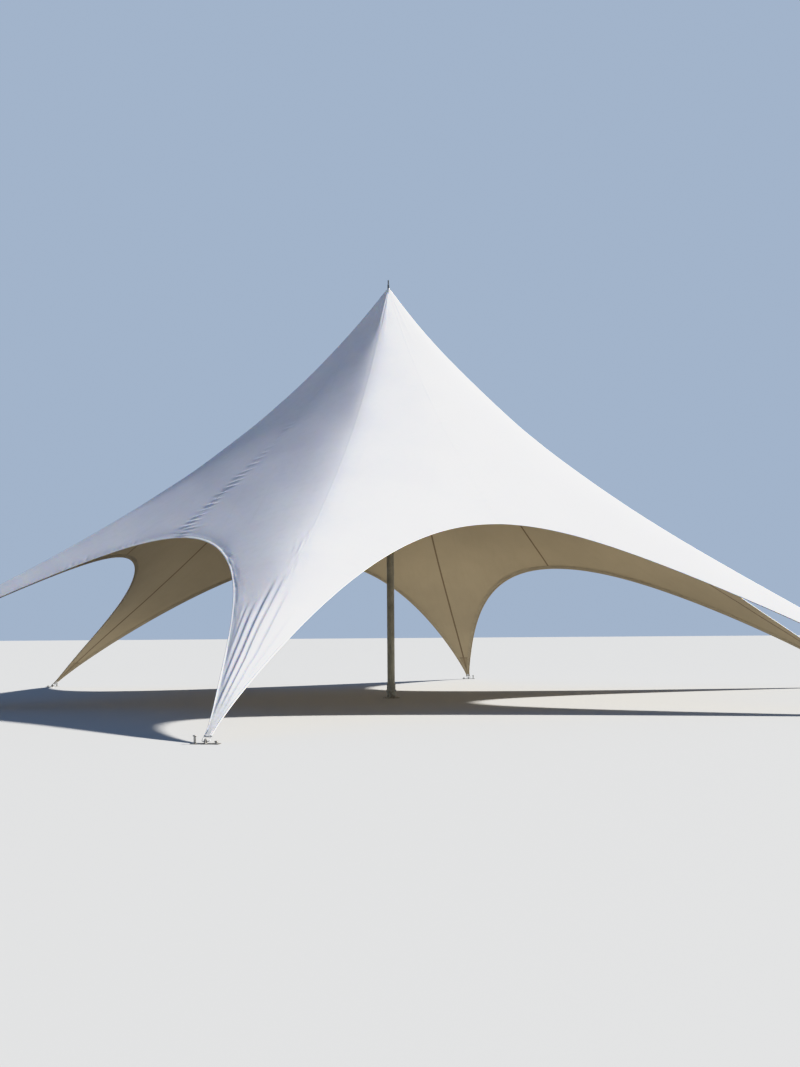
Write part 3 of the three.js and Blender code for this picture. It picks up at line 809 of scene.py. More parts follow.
def thin(mat, scale, radius):
    """Cloth that lets a little warm light through."""
    b = mat.node_tree.nodes["Principled BSDF"]
    b.inputs["Subsurface Weight"].default_value = 1.0
    b.inputs["Subsurface Radius"].default_value = radius
    b.inputs["Subsurface Scale"].default_value = scale
    return mat


OUT_BASE = (0.802, 0.796, 0.820)
OUT_SHADE = (0.748, 0.742, 0.775)


def cloth_outside():
    m = Tree("canopy_cloth_outside")
    obj = m.coords()
    uv = m.uv("cloth")
    seam, run, hemd, hems, cx = (m.attr("tent_" + k) for k in ("seam", "run", "hemd", "hems", "cx"))
    mott = m.noise(obj, 1.1, 4.0, 0.55)
    color = m.mix(m.ramp(mott, 0.35, 0.7), OUT_BASE, OUT_SHADE)
    fine = m.noise(obj, 9.0, 5.0, 0.6)
    color = m.mix(m.ramp(fine, 0.45, 0.75, 0.0, 0.35), color, (0.72, 0.725, 0.735))
    # rain streaks run down the panels
    streak = m.noise(m.scaled(uv, (11.0, 0.45, 1.0)), 1.0, 4.0, 0.6, 0.2)
    color = m.mix(m.ramp(streak, 0.52, 0.78, 0.0, 0.30), color, (0.69, 0.70, 0.70))
    # seam overlaps are a little brighter, with a thin line of dirt at their edge
    over = m.ramp(seam, 0.0135, 0.0150, 0.22, 0.0)
    color = m.mix(over, color, (0.825, 0.83, 0.84))
    color = m.mix(m.math("MULTIPLY", m.line(seam, 0.0152, 0.0011), 0.14), color, (0.50, 0.50, 0.49))
    band = m.ramp(hemd, 0.0440, 0.0460, 0.5, 0.0)
    color = m.mix(band, color, (0.83, 0.83, 0.825))
    color = m.mix(m.math("MULTIPLY", m.line(hemd, 0.0458, 0.0012), 0.35), color, (0.52, 0.52, 0.50))
    # doubled corner
    doubled = m.ramp(cx, X_SEAM - 0.002, X_SEAM + 0.002)
    color = m.mix(m.math("MULTIPLY", doubled, 0.5), color, (0.79, 0.79, 0.785))
    cross = m.math("MAXIMUM", m.line(cx, X_SEAM + 0.003, 0.0016), m.line(cx, X_SEAM + 0.034, 0.0012))
    color = m.mix(m.math("MULTIPLY", cross, 0.45), color, (0.45, 0.44, 0.42))
    # splash dirt near the ground
    z = m.separate(obj)[2]
    low = m.ramp(z, 0.03, 0.75, 1.0, 0.0)
    dirt = m.math("MULTIPLY", m.math("POWER", low, 1.6), m.ramp(m.noise(obj, 16.0, 6.0, 0.65), 0.35, 0.7))
    color = m.mix(m.math("MULTIPLY", dirt, 0.55), color, (0.40, 0.38, 0.30))
    st = stitches(m, seam, run, hemd, hems)
    color = m.mix(m.math("MULTIPLY", st, 0.6), color, (0.60, 0.60, 0.59))
    rough = m.ramp(fine, 0.3, 0.75, 0.42, 0.56)
    n = m.bump(weave(m, uv), 0.35, 0.00012)
    wrinkle = m.noise(m.scaled(uv, (1.0, 0.6, 1.0)), 16.0, 4.0, 0.55)
    n = m.bump(wrinkle, 0.55, 0.0011, n)
    n = m.bump(st, 0.5, 0.0007, n)
    return thin(m.finish(color, rough, 0.0, n, 0.42), 0.003, (1.0, 0.8, 0.55))


IN_BASE = (0.470, 0.378, 0.238)


def cloth_inside():
    m = Tree("canopy_cloth_inside")
    obj = m.coords()
    uv = m.uv("cloth")
    seam, run, hemd, hems, cx = (m.attr("tent_" + k) for k in ("seam", "run", "hemd", "hems", "cx"))
    mott = m.noise(obj, 1.4, 4.0, 0.55)
    color = m.mix(m.ramp(mott, 0.3, 0.72), IN_BASE, tuple(v * 0.93 for v in IN_BASE))
    fine = m.noise(m.scaled(uv, (6.0, 1.2, 1.0)), 2.2, 5.0, 0.6)
    color = m.mix(m.ramp(fine, 0.45, 0.75, 0.0, 0.3), color, tuple(v * 0.88 for v in IN_BASE))
    # painted shade: the doubled cloth of the seam overlaps, the hem band and the corner is painted darker, for the
    # daylight that comes through two layers less than through one
    over = m.ramp(seam, 0.0140, 0.0158, 0.9, 0.0)
    color = m.mix(over, color, (0.170, 0.112, 0.060))
    band = m.ramp(hemd, 0.0440, 0.0460, 0.6, 0.0)
    color = m.mix(band, color, (0.360, 0.285, 0.175))
    doubled = m.ramp(cx, X_SEAM - 0.002, X_SEAM + 0.002)
    color = m.mix(m.math("MULTIPLY", doubled, 0.6), color, (0.280, 0.210, 0.125))
    cross = m.math("MAXIMUM", m.line(cx, X_SEAM + 0.003, 0.004), m.line(cx, X_SEAM + 0.036, 0.003))
    color = m.mix(m.math("MULTIPLY", cross, 0.8), color, (0.100, 0.070, 0.040))
    st = stitches(m, seam, run, hemd, hems)
    color = m.mix(m.math("MULTIPLY", st, 0.35), color, (0.50, 0.43, 0.31))
    # painted light and shade: the lining is painted lighter high up, where daylight glows through the cloth, and darker
    # towards the ground
    painted_light_by_height = m.mix(m.ramp(m.separate(obj)[2], 1.25, 2.35), (0.80, 0.80, 0.80), (1.07, 1.07, 1.07))
    color = m.mix(1.0, color, painted_light_by_height, "MULTIPLY")
    rough = m.ramp(fine, 0.3, 0.75, 0.86, 0.94)
    n = m.bump(weave(m, uv), 0.4, 0.00014)
    n = m.bump(m.noise(uv, 14.0, 4.0, 0.55), 0.25, 0.0008, n)
    n = m.bump(st, 0.5, 0.0007, n)
    return m.finish(color, rough, 0.0, n, 0.12)


def webbing_material(name, pale, deep, rib_trough_shade):
    m = Tree(name)
    uv = m.uv("strap")
    s = m.separate(uv)
    rib = m.math("SINE", m.math("MULTIPLY", s[1], 2 * math.pi / 0.0042))
    rib2 = m.math("SINE", m.math("MULTIPLY", s[0], 2 * math.pi / 0.0024))
    h = m.math("ADD", m.math("MULTIPLY", rib, 0.7), m.math("MULTIPLY", rib2, 0.4))
    obj = m.coords()
    mott = m.noise(obj, 5.0, 5.0, 0.6)
    color = m.mix(m.ramp(mott, 0.3, 0.75), pale, deep)
    low = m.ramp(m.separate(obj)[2], 0.02, 0.6, 1.0, 0.0)
    color = m.mix(m.math("MULTIPLY", low, 0.4), color, tuple(v * 0.7 for v in deep))
    # painted shade: the troughs between the ribs are painted darker
    color = m.mix(m.ramp(rib, -1.0, 0.2, 0.35, 0.0), color, rib_trough_shade)
    rows = m.math("MAXIMUM", m.line(s[0], 0.0245, 0.0006), m.line(s[0], 0.0545, 0.0006))
    dash = m.ramp(m.math("PINGPONG", s[1], 0.0030), 0.0006, 0.0013)
    st = m.math("MULTIPLY", rows, dash)
    color = m.mix(m.math("MULTIPLY", st, 0.7), color, tuple(min(0.8, v * 1.6) for v in pale))
    n = m.bump(h, 0.7, 0.0006)
    return m.finish(color, 0.78, 0.0, m.bump(st, 0.6, 0.0008, n), 0.25)


def metal(name, color, dark, rough=(0.3, 0.5), metallic=1.0, scale=40.0, spangle=False, dirt=0.0, streak=False, painted_ground_light=None):
    m = Tree(name)
    obj = m.coords()
    a = m.noise(obj, scale, 5.0, 0.6)
    col = m.mix(m.ramp(a, 0.35, 0.7), color, dark)
    if spangle:
        v = m.node("ShaderNodeTexVoronoi")
        m.link(obj, v.inputs["Vector"])
        v.inputs["Scale"].default_value = 110.0
        g = m.separate(v.outputs["Color"])[0]
        col = m.mix(m.ramp(g, 0.1, 0.9, 0.0, 0.5), col, tuple(c * 1.18 for c in color))
        rg = m.ramp(g, 0.1, 0.9, rough[0], rough[1])
    else:
        rg = m.ramp(a, 0.3, 0.75, rough[0], rough[1])
    h = a
    if streak:
        h = m.noise(m.scaled(obj, (60.0, 60.0, 0.7)), 1.0, 3.0, 0.5)
        col = m.mix(m.ramp(h, 0.4, 0.7, 0.0, 0.35), col, tuple(c * 0.8 for c in dark))
    if dirt:
        low = m.ramp(m.separate(obj)[2], 0.0, 0.30, 1.0, 0.0)
        d = m.math("MULTIPLY", low, m.ramp(m.noise(obj, 22.0, 6.0, 0.7), 0.35, 0.65))
        col = m.mix(m.math("MULTIPLY", d, dirt), col, (0.13, 0.10, 0.06))
    # painted light: the metal is painted lighter towards its foot, for light thrown up from the ground
    if painted_ground_light:
        low = m.ramp(m.separate(obj)[2], 0.30, 1.35, 1.0, 0.0)
        col = m.mix(m.math("MULTIPLY", low, m.ramp(a, 0.2, 0.7, 0.85, 0.65)), col, painted_ground_light)
    return m.finish(col, rg, metallic, m.bump(h, 0.25, 0.0006), 0.5)


# ---------------------------------------------------------------------------
# small meshes
# ---------------------------------------------------------------------------
def link(me, name):
    ob = bpy.data.objects.new(name, me)
    SCENE.collection.objects.link(ob)
    return ob


def from_bmesh(bm, name, smooth_faces=True):
    me = bpy.data.meshes.new(name)
    bmesh.ops.recalc_face_normals(bm, faces=bm.faces)
    bm.to_mesh(me)
    bm.free()
    if smooth_faces:
        me.polygons.foreach_set("use_smooth", np.ones(len(me.polygons), bool))
    return link(me, name)


def sharp(ob, degrees=32):
    """Sharp edges above an angle, so that round faces shade smooth."""
    bm = bmesh.new()
    bm.from_mesh(ob.data)
    lim = math.radians(degrees)
    for e in bm.edges:
        if len(e.link_faces) == 2 and e.calc_face_angle(0) > lim:
            e.smooth = False
    bm.to_mesh(ob.data)
    bm.free()
    return ob


def lathe_bm(bm, profile, seg=64, matrix=None):
    """Closed turned body. The profile runs from axis to axis, or closes on itself."""
    rings = []
    closed = profile[0][0] > 1e-9
    for r, z in profile:
        if r < 1e-9:
            rings.append([bm.verts.new((0, 0, z))])
        else:
            rings.append(
                [
                    bm.verts.new((r * math.cos(2 * math.pi * i / seg), r * math.sin(2 * math.pi * i / seg), z))
                    for i in range(seg)
                ]
            )
    pairs = list(zip(rings, rings[1:]))
    if closed:
        pairs.append((rings[-1], rings[0]))
    for a, b in pairs:
        for i in range(seg):
            j = (i + 1) % seg
            if len(a) == 1 and len(b) == 1:
                continue
            if len(a) == 1:
                bm.faces.new((a[0], b[j], b[i]))
            elif len(b) == 1:
                bm.faces.new((a[i], a[j], b[0]))
            else:
                bm.faces.new((a[i], a[j], b[j], b[i]))
    made = [v for ring in rings for v in ring]
    if matrix is not None:
        bmesh.ops.transform(bm, matrix=matrix, verts=made)
    return made


def round_profile(points, radius, steps=4):
    """Rounds each inner corner of a profile by an arc of about that radius."""
    out = [points[0]]
    for p, q, r in zip(points, points[1:], points[2:]):
        a = Vector(p) - Vector(q)
        b = Vector(r) - Vector(q)
        if a.length < 1e-9 or b.length < 1e-9:
            continue
        k = min(radius, a.length * 0.45, b.length * 0.45)
        s, e = Vector(q) + a.normalized() * k, Vector(q) + b.normalized() * k
        for i in range(steps + 1):
            t = i / steps
            out.append(tuple((1 - t) ** 2 * s + 2 * t * (1 - t) * Vector(q) + t * t * e))
    out.append(points[-1])
    return out


def tube_bm(bm, path, radius, seg=12, closed=False, flat=1.0):
    """Round bar along a path of points, with flat end caps unless closed."""
    pts = [Vector(p) for p in path]
    n = len(pts)
    tangents = []
    for i in range(n):
        if closed:
            t = pts[(i + 1) % n] - pts[i - 1]
        else:
            t = pts[min(i + 1, n - 1)] - pts[max(i - 1, 0)]
        tangents.append(t.normalized())
    up = Vector((0, 0, 1)) if abs(tangents[0].z) < 0.9 else Vector((1, 0, 0))
    side = tangents[0].cross(up).normalized()
    rings = []
    for i in range(n):
        t = tangents[i]
        side = (side - t * side.dot(t)).normalized()
        other = t.cross(side)
        r = radius[i] if isinstance(radius, (list, tuple)) else radius
        rings.append(
            [
                bm.verts.new(
                    pts[i]
                    + side * (r * math.cos(2 * math.pi * k / seg))
                    + other * (r * flat * math.sin(2 * math.pi * k / seg))
                )
                for k in range(seg)
            ]
        )
    pairs = list(zip(rings, rings[1:]))
    if closed:
        pairs.append((rings[-1], rings[0]))
    for a, b in pairs:
        for k in range(seg):
            j = (k + 1) % seg
            bm.faces.new((a[k], a[j], b[j], b[k]))
    if not closed:
        bm.faces.new(rings[0][::-1])
        bm.faces.new(rings[-1])
    return [v for r in rings for v in r]


def box_bm(bm, size, matrix, bevel=0.002, segments=2):
    made = bmesh.ops.create_cube(bm, size=1.0)["verts"]
    bmesh.ops.scale(bm, vec=size, verts=made)
    if bevel:
        edges = list({e for v in made for e in v.link_edges})
        res = bmesh.ops.bevel(bm, geom=edges, offset=bevel, segments=segments, affect="EDGES", profile=0.5)
        made = list({v for f in res["faces"] for v in f.verts} | {v for v in made if v.is_valid})
    bmesh.ops.transform(bm, matrix=matrix, verts=made)
    return made


def prism_bm(bm, outline, thickness, matrix, bevel=0.0015, holes=()):
    """Flat plate from a 2-D outline, with round edges; the outline lies in X and Z, the thickness in Y."""
    loops = []
    for pts in (outline, *holes):
        loops.append([bm.verts.new((x, -thickness / 2, z)) for x, z in pts])
    edges = []
    for vs in loops:
        edges += [bm.edges.new((vs[i], vs[(i + 1) % len(vs)])) for i in range(len(vs))]
    fill = bmesh.ops.triangle_fill(bm, edges=edges, use_beauty=True)
    faces = [f for f in fill["geom"] if isinstance(f, bmesh.types.BMFace)]
    ext = bmesh.ops.extrude_face_region(bm, geom=faces)
    top = [v for v in ext["geom"] if isinstance(v, bmesh.types.BMVert)]
    bmesh.ops.translate(bm, vec=(0, thickness, 0), verts=top)
    made = [v for vs in loops for v in vs] + top
    rim = [e for e in {e for v in made for e in v.link_edges} if len(e.link_faces) == 2 and e.calc_face_angle(0) > 1.2]
    if bevel:
        res = bmesh.ops.bevel(bm, geom=rim, offset=bevel, segments=2, affect="EDGES", profile=0.5)
        made = list({v for f in res["faces"] for v in f.verts} | {v for v in made if v.is_valid})
    bmesh.ops.transform(bm, matrix=matrix, verts=made)
    return made


def give(ob, mat, slot, *nodes):
    if not ob.data.materials:
        ob.data.materials.append(mat)
    if nodes:
        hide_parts(*nodes)
    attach(ob, "root")
    return ob


# ---------------------------------------------------------------------------
# camera
# ---------------------------------------------------------------------------
F_PX, CAM_D, CAM_H = 1359.96, 3.2902 * H, 0.1531 * H
YAW, PITCH, ROLL = 0.0073, 0.0746 - 1 / 1359.96, -0.0075
TURN = -math.pi / 2 + 1.7635
turn = Matrix.Rotation(TURN, 3, "Z")
fwd = Vector((math.sin(YAW) * math.cos(PITCH), math.cos(YAW) * math.cos(PITCH), math.sin(PITCH)))
right = Vector((math.cos(YAW), -math.sin(YAW), 0))
up = right.cross(fwd)
r2 = right * math.cos(ROLL) + up * math.sin(ROLL)
u2 = -right * math.sin(ROLL) + up * math.cos(ROLL)
place = turn @ Vector((0, -CAM_D, CAM_H))
cols = [turn @ v for v in (r2, u2, -fwd)]
cam_data = bpy.data.cameras.new("view")
cam_data.sensor_fit = "AUTO"
cam_data.sensor_width = 36.0
cam_data.lens = F_PX / 1067 * 36.0
cam_data.clip_start, cam_data.clip_end = 0.1, 600
cam = bpy.data.objects.new("view", cam_data)
cam.matrix_world = Matrix(
    [[cols[j][i] for j in range(3)] + [place[i]] for i in range(3)] + [[0, 0, 0, 1]]
)
SCENE.collection.objects.link(cam)
SCENE.camera = cam

# ---------------------------------------------------------------------------
# canopy
# ---------------------------------------------------------------------------
outside, inside = cloth_outside(), cloth_inside()
legs = []
for k in range(6):
    ob = build_leg(k)
    ob.data.materials.append(outside)
    ob.data.materials.append(inside)
    L = LEGS[k]
    give(ob, outside, "canopy_cloth", f"canopy_panel_{L}_a", f"canopy_panel_{L}_b", f"leg_corner_{L}")
    n = len(ob.data.polygons)
    area = np.zeros(n)
    ob.data.polygons.foreach_get("area", area)
    legs.append(ob)

# ---------------------------------------------------------------------------
# webbing under the hem of each arch
# ---------------------------------------------------------------------------
def moving(v, n, how):
    pad = np.pad(v, n, mode="edge")
    return how(np.stack([pad[i : i + len(v)] for i in range(2 * n + 1)]), 0)


BELT_A, BELT_B, BELT_T = 0.0215, 0.0575, 0.0022


def belt_side(a, leg, side, turned):
    """Cross sections of arch a's belt on one side of its crown, from the crown to the leg's tip."""
    hx, hy = arch_curve(a)
    arc = np.concatenate([[0], np.cumsum(np.hypot(np.diff(hx), np.diff(hy)))])
    end = np.interp(X_END - 0.001, hx, arc)
    n = int(end / 0.0125)
    at = np.linspace(0, end, n)
    px, py = np.interp(at, arc, hx), np.interp(at, arc, hy)
    tx, ty = np.interp(at + 0.004, arc, hx) - np.interp(at - 0.004, arc, hx), np.interp(at + 0.004, arc, hy) - np.interp(at - 0.004, arc, hy)
    ln = np.hypot(tx, ty)
    nx, ny = ty / ln, -tx / ln
    nx[0], ny[0] = -C30, -S30
    probe = np.linspace(0.018, 0.062, 6)[None, :]
    qx, qy = px[:, None] + nx[:, None] * probe, np.maximum(py[:, None] + ny[:, None] * probe, 0.0015)
    wide = np.interp(qx, hx, hy)
    d = fine_relief(leg, side, qx, qy, np.ones_like(qx), probe + 0 * qx, at[:, None] + 0 * qx, np.where(qx < hx[0], qx * T30, wide))
    d = (d + broad_relief(leg, side, qx, qy, probe + 0 * qx)).min(1)
    off = moving(moving(d, 5, np.min), 4, np.mean) - 0.0034
    rim = 0.0005
    across = np.array([BELT_A, BELT_A + rim, (BELT_A + BELT_B) / 2, BELT_B - rim, BELT_B])
    keep = slice(0, None, 2)
    at, px, py, nx, ny, off = at[keep], px[keep], py[keep], nx[keep], ny[keep], off[keep]
    rings = []
    for level, cols in ((0.0, (1, 2, 3)), (-0.5, (4,)), (-1.0, (3, 2, 1)), (-0.5, (0,))):
        for c in cols:
            x = px + nx * across[c]
            y = np.maximum(py + ny * across[c], 0.0015 + 0.0001 * c)
            x[-1] = X_END - 0.0015
            z = cloth_z(x, y, a)
            nrm = cloth_normal(x, y, a)
            nrm[..., 1] *= side
            p = np.stack([x, y * side, z], -1) + nrm * (off + level * BELT_T)[:, None]
            rings.append((turned(p), across[c]))
    return rings, at


def hem_webbing(k, mat):
    one, at1 = belt_side(k, k, 1, lambda p: turn_leg(p, k))
    two, at2 = belt_side(k, (k + 1) % 6, -1, lambda p: turn_leg(p, (k + 1) % 6))
    n = len(one)
    rows = [np.concatenate([one[j][0][::-1], two[j][0][1:]]) for j in range(n)]
    run = np.concatenate([-at1[::-1], at2[1:]])
    m = len(run)
    co = np.concatenate(rows)
    faces, uvs = [], []
    width = [one[j][1] for j in range(n)]
    around = np.array(width + [width[0]])
    for j in range(n):
        q = (j + 1) % n
        for i in range(m - 1):
            faces.append((j * m + i, q * m + i, q * m + i + 1, j * m + i + 1))
            uvs += [(around[j], run[i]), (around[j + 1], run[i]), (around[j + 1], run[i + 1]), (around[j], run[i + 1])]
    faces.append(tuple(j * m for j in range(n)))
    faces.append(tuple(j * m + m - 1 for j in reversed(range(n))))
    uvs += [(around[j], run[0]) for j in range(n)] + [(around[j], run[-1]) for j in reversed(range(n))]
    name = f"hem_webbing_{LEGS[k]}"
    me = bpy.data.meshes.new(name)
    me.from_pydata(co.tolist(), [], faces)
    me.uv_layers.new(name="strap").data.foreach_set("uv", np.array(uvs, np.float32).ravel())
    me.polygons.foreach_set("use_smooth", np.ones(len(me.polygons), bool))
    me.update()
    bm = bmesh.new()
    bm.from_mesh(me)
    bmesh.ops.recalc_face_normals(bm, faces=bm.faces)
    bm.to_mesh(me)
    bm.free()
    ob = sharp(link(me, name), 40)
    return give(ob, mat, "hem_webbing", f"hem_belt_{LEGS[k]}")


web = webbing_material("hem_webbing_weave", (0.400, 0.325, 0.205), (0.310, 0.250, 0.158), (0.205, 0.163, 0.104))
loop_web = webbing_material("tip_webbing_weave", (0.78, 0.78, 0.77), (0.62, 0.62, 0.60), (0.42, 0.42, 0.40))
for k in range(6):
    hem_webbing(k, web)

# ---------------------------------------------------------------------------
# mast
# ---------------------------------------------------------------------------
MAST_R = 0.055
# the mast's metal is painted lighter towards its foot: painted light thrown up from the ground
mast_metal = metal("mast_aluminium", (0.285, 0.255, 0.180), (0.205, 0.185, 0.130), (0.34, 0.55), 0.35, 9.0, streak=True, painted_ground_light=(0.50, 0.475, 0.345))
foot_metal = metal("foot_galvanised", (0.47, 0.45, 0.35), (0.34, 0.32, 0.25), (0.38, 0.6), 0.55, 26.0, spangle=True, dirt=0.75)
zinc = metal("zinc_plated", (0.50, 0.50, 0.49), (0.36, 0.36, 0.35), (0.24, 0.42), 0.9, 60.0)
anchor_metal = metal("anchor_galvanised", (0.46, 0.46, 0.44), (0.31, 0.31, 0.29), (0.34, 0.55), 0.8, 30.0, spangle=True, dirt=0.8)
spike_metal = metal("spike_grey", (0.090, 0.105, 0.115), (0.060, 0.070, 0.076), (0.35, 0.55), 0.5, 40.0)


def carve(ob, cutter):
    mod = ob.modifiers.new("cut", "BOOLEAN")
    mod.object, mod.operation, mod.solver = cutter, "DIFFERENCE", "EXACT"
    dg = bpy.context.evaluated_depsgraph_get()
    me = bpy.data.meshes.new_from_object(ob.evaluated_get(dg))
    ob.modifiers.clear()
    old, ob.data = ob.data, me
    bpy.data.meshes.remove(old)
    bpy.data.objects.remove(cutter)
    return ob


def rod_bm(bm, p0, p1, radius, seg=32):
    p0, p1 = Vector(p0), Vector(p1)
    rot = (p1 - p0).to_track_quat("Z", "Y").to_matrix().to_4x4()
    return lathe_bm(bm, [(0, 0), (radius, 0), (radius, (p1 - p0).length), (0, (p1 - p0).length)], seg, Matrix.Translation(p0) @ rot)


def mast_tube(name, z0, z1, node, low_chamfer, high_chamfer, rivets=(), buttons=()):
    wall = 0.003
    lo = [(MAST_R - 0.001, z0), (MAST_R, z0 + 0.002)] if low_chamfer else [(MAST_R - 0.0004, z0), (MAST_R, z0 + 0.0004)]
    hi = [(MAST_R, z1 - 0.002), (MAST_R - 0.001, z1)] if high_chamfer else [(MAST_R, z1 - 0.0004), (MAST_R - 0.0004, z1)]
    bm = bmesh.new()
    body = [(MAST_R - wall, z0)] + lo
    for z in np.linspace(z0 + 0.05, z1 - 0.05, 9):
        body.append((MAST_R, float(z)))
    lathe_bm(bm, body + hi + [(MAST_R - wall, z1)], 96)
    ob = from_bmesh(bm, name)
    if name == "mast_lower_tube":
        cut = bmesh.new()
        rod_bm(cut, (0, -0.09, 0.750), (0, 0.09, 0.750), 0.011, 40)
        ob = carve(ob, from_bmesh(cut, "cutter_a", False))
    bm = bmesh.new()
    bm.from_mesh(ob.data)
    for z in rivets:
        for i in range(6):
            a = math.pi / 6 + i * math.pi / 3
            m = Matrix.Rotation(a, 4, "Z") @ Matrix.Translation((MAST_R - 0.0008, 0, z)) @ Matrix.Rotation(math.pi / 2, 4, "Y")
            lathe_bm(bm, [(0, -0.001), (0.0055, -0.001), (0.0055, 0.0008), (0.0047, 0.0018), (0.0028, 0.0025), (0, 0.0028)], 18, m)
    for z in buttons:
        m = Matrix.Translation((0, -(MAST_R - 0.001), z)) @ Matrix.Rotation(math.pi / 2, 4, "X")
        lathe_bm(bm, [(0, 0), (0.0095, 0), (0.0095, 0.0012), (0.0068, 0.0014), (0.0066, 0.0046), (0.0052, 0.0060), (0, 0.0064)], 24, m)
    bmesh.ops.recalc_face_normals(bm, faces=bm.faces)
    bm.to_mesh(ob.data)
    bm.free()
    ob.data.polygons.foreach_set("use_smooth", np.ones(len(ob.data.polygons), bool))
    sharp(ob, 28)
    return give(ob, mast_metal, "mast_tube", node)


mast_tube("mast_lower_tube", 0.0105, 2.180, "mast_lower", False, True, (2.1, 2.14), (2.02,))
mast_tube("mast_middle_tube", 2.1805, 4.160, "mast_middle", True, True, (2.22, 2.26, 4.08, 4.12), (2.34, 4.0))
mast_tube("mast_upper_tube", 4.1605, 6.045, "mast_upper", True, False, (4.20, 4.24), (4.32,))

bm = bmesh.new()
prof = [(0, 0), (0.130, 0), (0.130, 0.010), (0.0735, 0.010), (0.0650, 0.0175), (0.0650, 0.210), (0.0555, 0.210), (0.0555, 0.0102), (0, 0.0102)]
lathe_bm(bm, round_profile(prof, 0.0018, 3), 96)
tube_bm(
    bm,
    [(0.0684 * math.cos(t), 0.0684 * math.sin(t), 0.0132) for t in np.linspace(0, 2 * math.pi, 144, endpoint=False)],
    [0.0038 + 0.0006 * math.sin(36 * t) for t in np.linspace(0, 2 * math.pi, 144, endpoint=False)],
    10,
    True,
)
tube_bm(bm, [(0.0652 * math.cos(t), 0.0652 * math.sin(t), 0.2045) for t in np.linspace(0, 2 * math.pi, 96, endpoint=False)], 0.0016, 8, True)
for i in range(4):
    a = math.radians(45 + 90 * i)
    m = Matrix.Translation((0.104 * math.cos(a), 0.104 * math.sin(a), 0.010)) @ Matrix.Rotation(0.4 * i, 4, "Z")
    lathe_bm(bm, [(0, 0), (0.0165, 0), (0.0165, 0.0018), (0.0160, 0.0022), (0, 0.0022)], 32, m)
    lathe_bm(bm, [(0, 0.002), (0.0112, 0.002), (0.0112, 0.0078), (0.0098, 0.0092), (0, 0.0095)], 6, m)
ob = sharp(from_bmesh(bm, "mast_foot_socket"), 30)
give(ob, foot_metal, "mast_foot", "mast_foot")

bm = bmesh.new()
along_x = Matrix.Translation((0, 0, 0.110)) @ Matrix.Rotation(math.pi / 2, 4, "Y")


def hexagon(bm, x0, x1, r, m):
    """Hexagonal head between x0 and x1, its outer corners turned off."""
    s = 1 if x1 > x0 else -1
    t = abs(x1 - x0)
    lathe_bm(bm, [(0, x0), (r * 0.985, x0), (r, x0 + s * 0.0006), (r, x0 + s * (t - 0.0018)), (r * 0.90, x1), (0, x1)], 6, m)
    lathe_bm(bm, [(0, x1 - s * 0.0004), (r * 0.80, x1 - s * 0.0004), (r * 0.77, x1 + s * 0.0005), (0, x1 + s * 0.0006)], 24, m)


hexagon(bm, 0.0672, 0.0770, 0.014, along_x)
hexagon(bm, -0.0672, -0.0775, 0.014, along_x)
for s in (1, -1):
    lathe_bm(bm, [(0.0085, s * 0.0650), (0.0150, s * 0.0650), (0.0152, s * 0.0655), (0.0150, s * 0.0672), (0.0085, s * 0.0673)], 32, along_x)
thread = [(0.008 - (0.0006 if i % 2 else 0), -0.080 + 0.0011 * i) for i in range(14)]
lathe_bm(bm, [(0, -0.080), (0.0066, -0.080)] + thread + [(0.008, -0.062), (0.008, 0.070), (0, 0.070)], 24, along_x)
ob = sharp(from_bmesh(bm, "foot_bolt_set"), 30)
give(ob, zinc, "fittings", "foot_bolt")

bm = bmesh.new()
prof = [(0, 6.0455), (0.074, 6.0455), (0.074, 6.063), (0.062, 6.072), (0.040, 6.112), (0.026, 6.150), (0, 6.150)]
lathe_bm(bm, round_profile(prof, 0.004, 4), 72)
ob = sharp(from_bmesh(bm, "mast_head_cone"), 40)
give(ob, foot_metal, "fittings", "mast_head")

bm = bmesh.new()
prof = [(0, 6.1505), (0.014, 6.1505), (0.014, 6.2560), (0.0132, 6.2620), (0.0100, 6.2680), (0.0100, 6.3270), (0.0085, 6.3325), (0.0045, 6.3358), (0, 6.3360)]
lathe_bm(bm, round_profile(prof, 0.0012, 3), 40)
lathe_bm(bm, [(0.0135, 6.2050), (0.0165, 6.2054), (0.0168, 6.2074), (0.0165, 6.2096), (0.0135, 6.2100)], 40)
ob = sharp(from_bmesh(bm, "peak_spike_rod"), 35)
give(ob, spike_metal, "peak_spike", "peak_spike")

bm = bmesh.new()
prof = [(0.0146, 6.1506), (0.0280, 6.1506), (0.0318, 6.1450), (0.0320, 6.1520), (0.0278, 6.1615), (0.0240, 6.1710), (0.0202, 6.1840), (0.0172, 6.1962), (0.0168, 6.2030), (0.0146, 6.2040)]
lathe_bm(bm, prof, 64)
bmesh.ops.bevel(bm, geom=[e for e in bm.edges if len(e.link_faces) == 2 and e.calc_face_angle(0) > 0.6], offset=0.0007, segments=2, affect="EDGES", profile=0.5)
ob = sharp(from_bmesh(bm, "peak_cap_cone"), 45)
cap_mat = Tree("peak_cap_rubber")
cap_obj = cap_mat.coords()
cap_n = cap_mat.noise(cap_obj, 30.0, 5.0, 0.6)
cap_mat.finish(
    cap_mat.mix(cap_mat.ramp(cap_n, 0.35, 0.7), (0.66, 0.66, 0.66), (0.50, 0.50, 0.49)),
    cap_mat.ramp(cap_n, 0.3, 0.7, 0.45, 0.62),
    0.0,
    cap_mat.bump(cap_n, 0.25, 0.0004),
    0.4,
)
give(ob, cap_mat.mat, "canopy_cloth", "peak_cap")
bm = bmesh.new()
lathe_bm(bm, [(0.0188, 6.1864), (0.0200, 6.1866), (0.0202, 6.1888), (0.0192, 6.1914), (0.0180, 6.1916)], 48)
box_bm(bm, (0.009, 0.008, 0.0055), Matrix.Translation((0.0222, 0, 6.1890)), 0.0010)
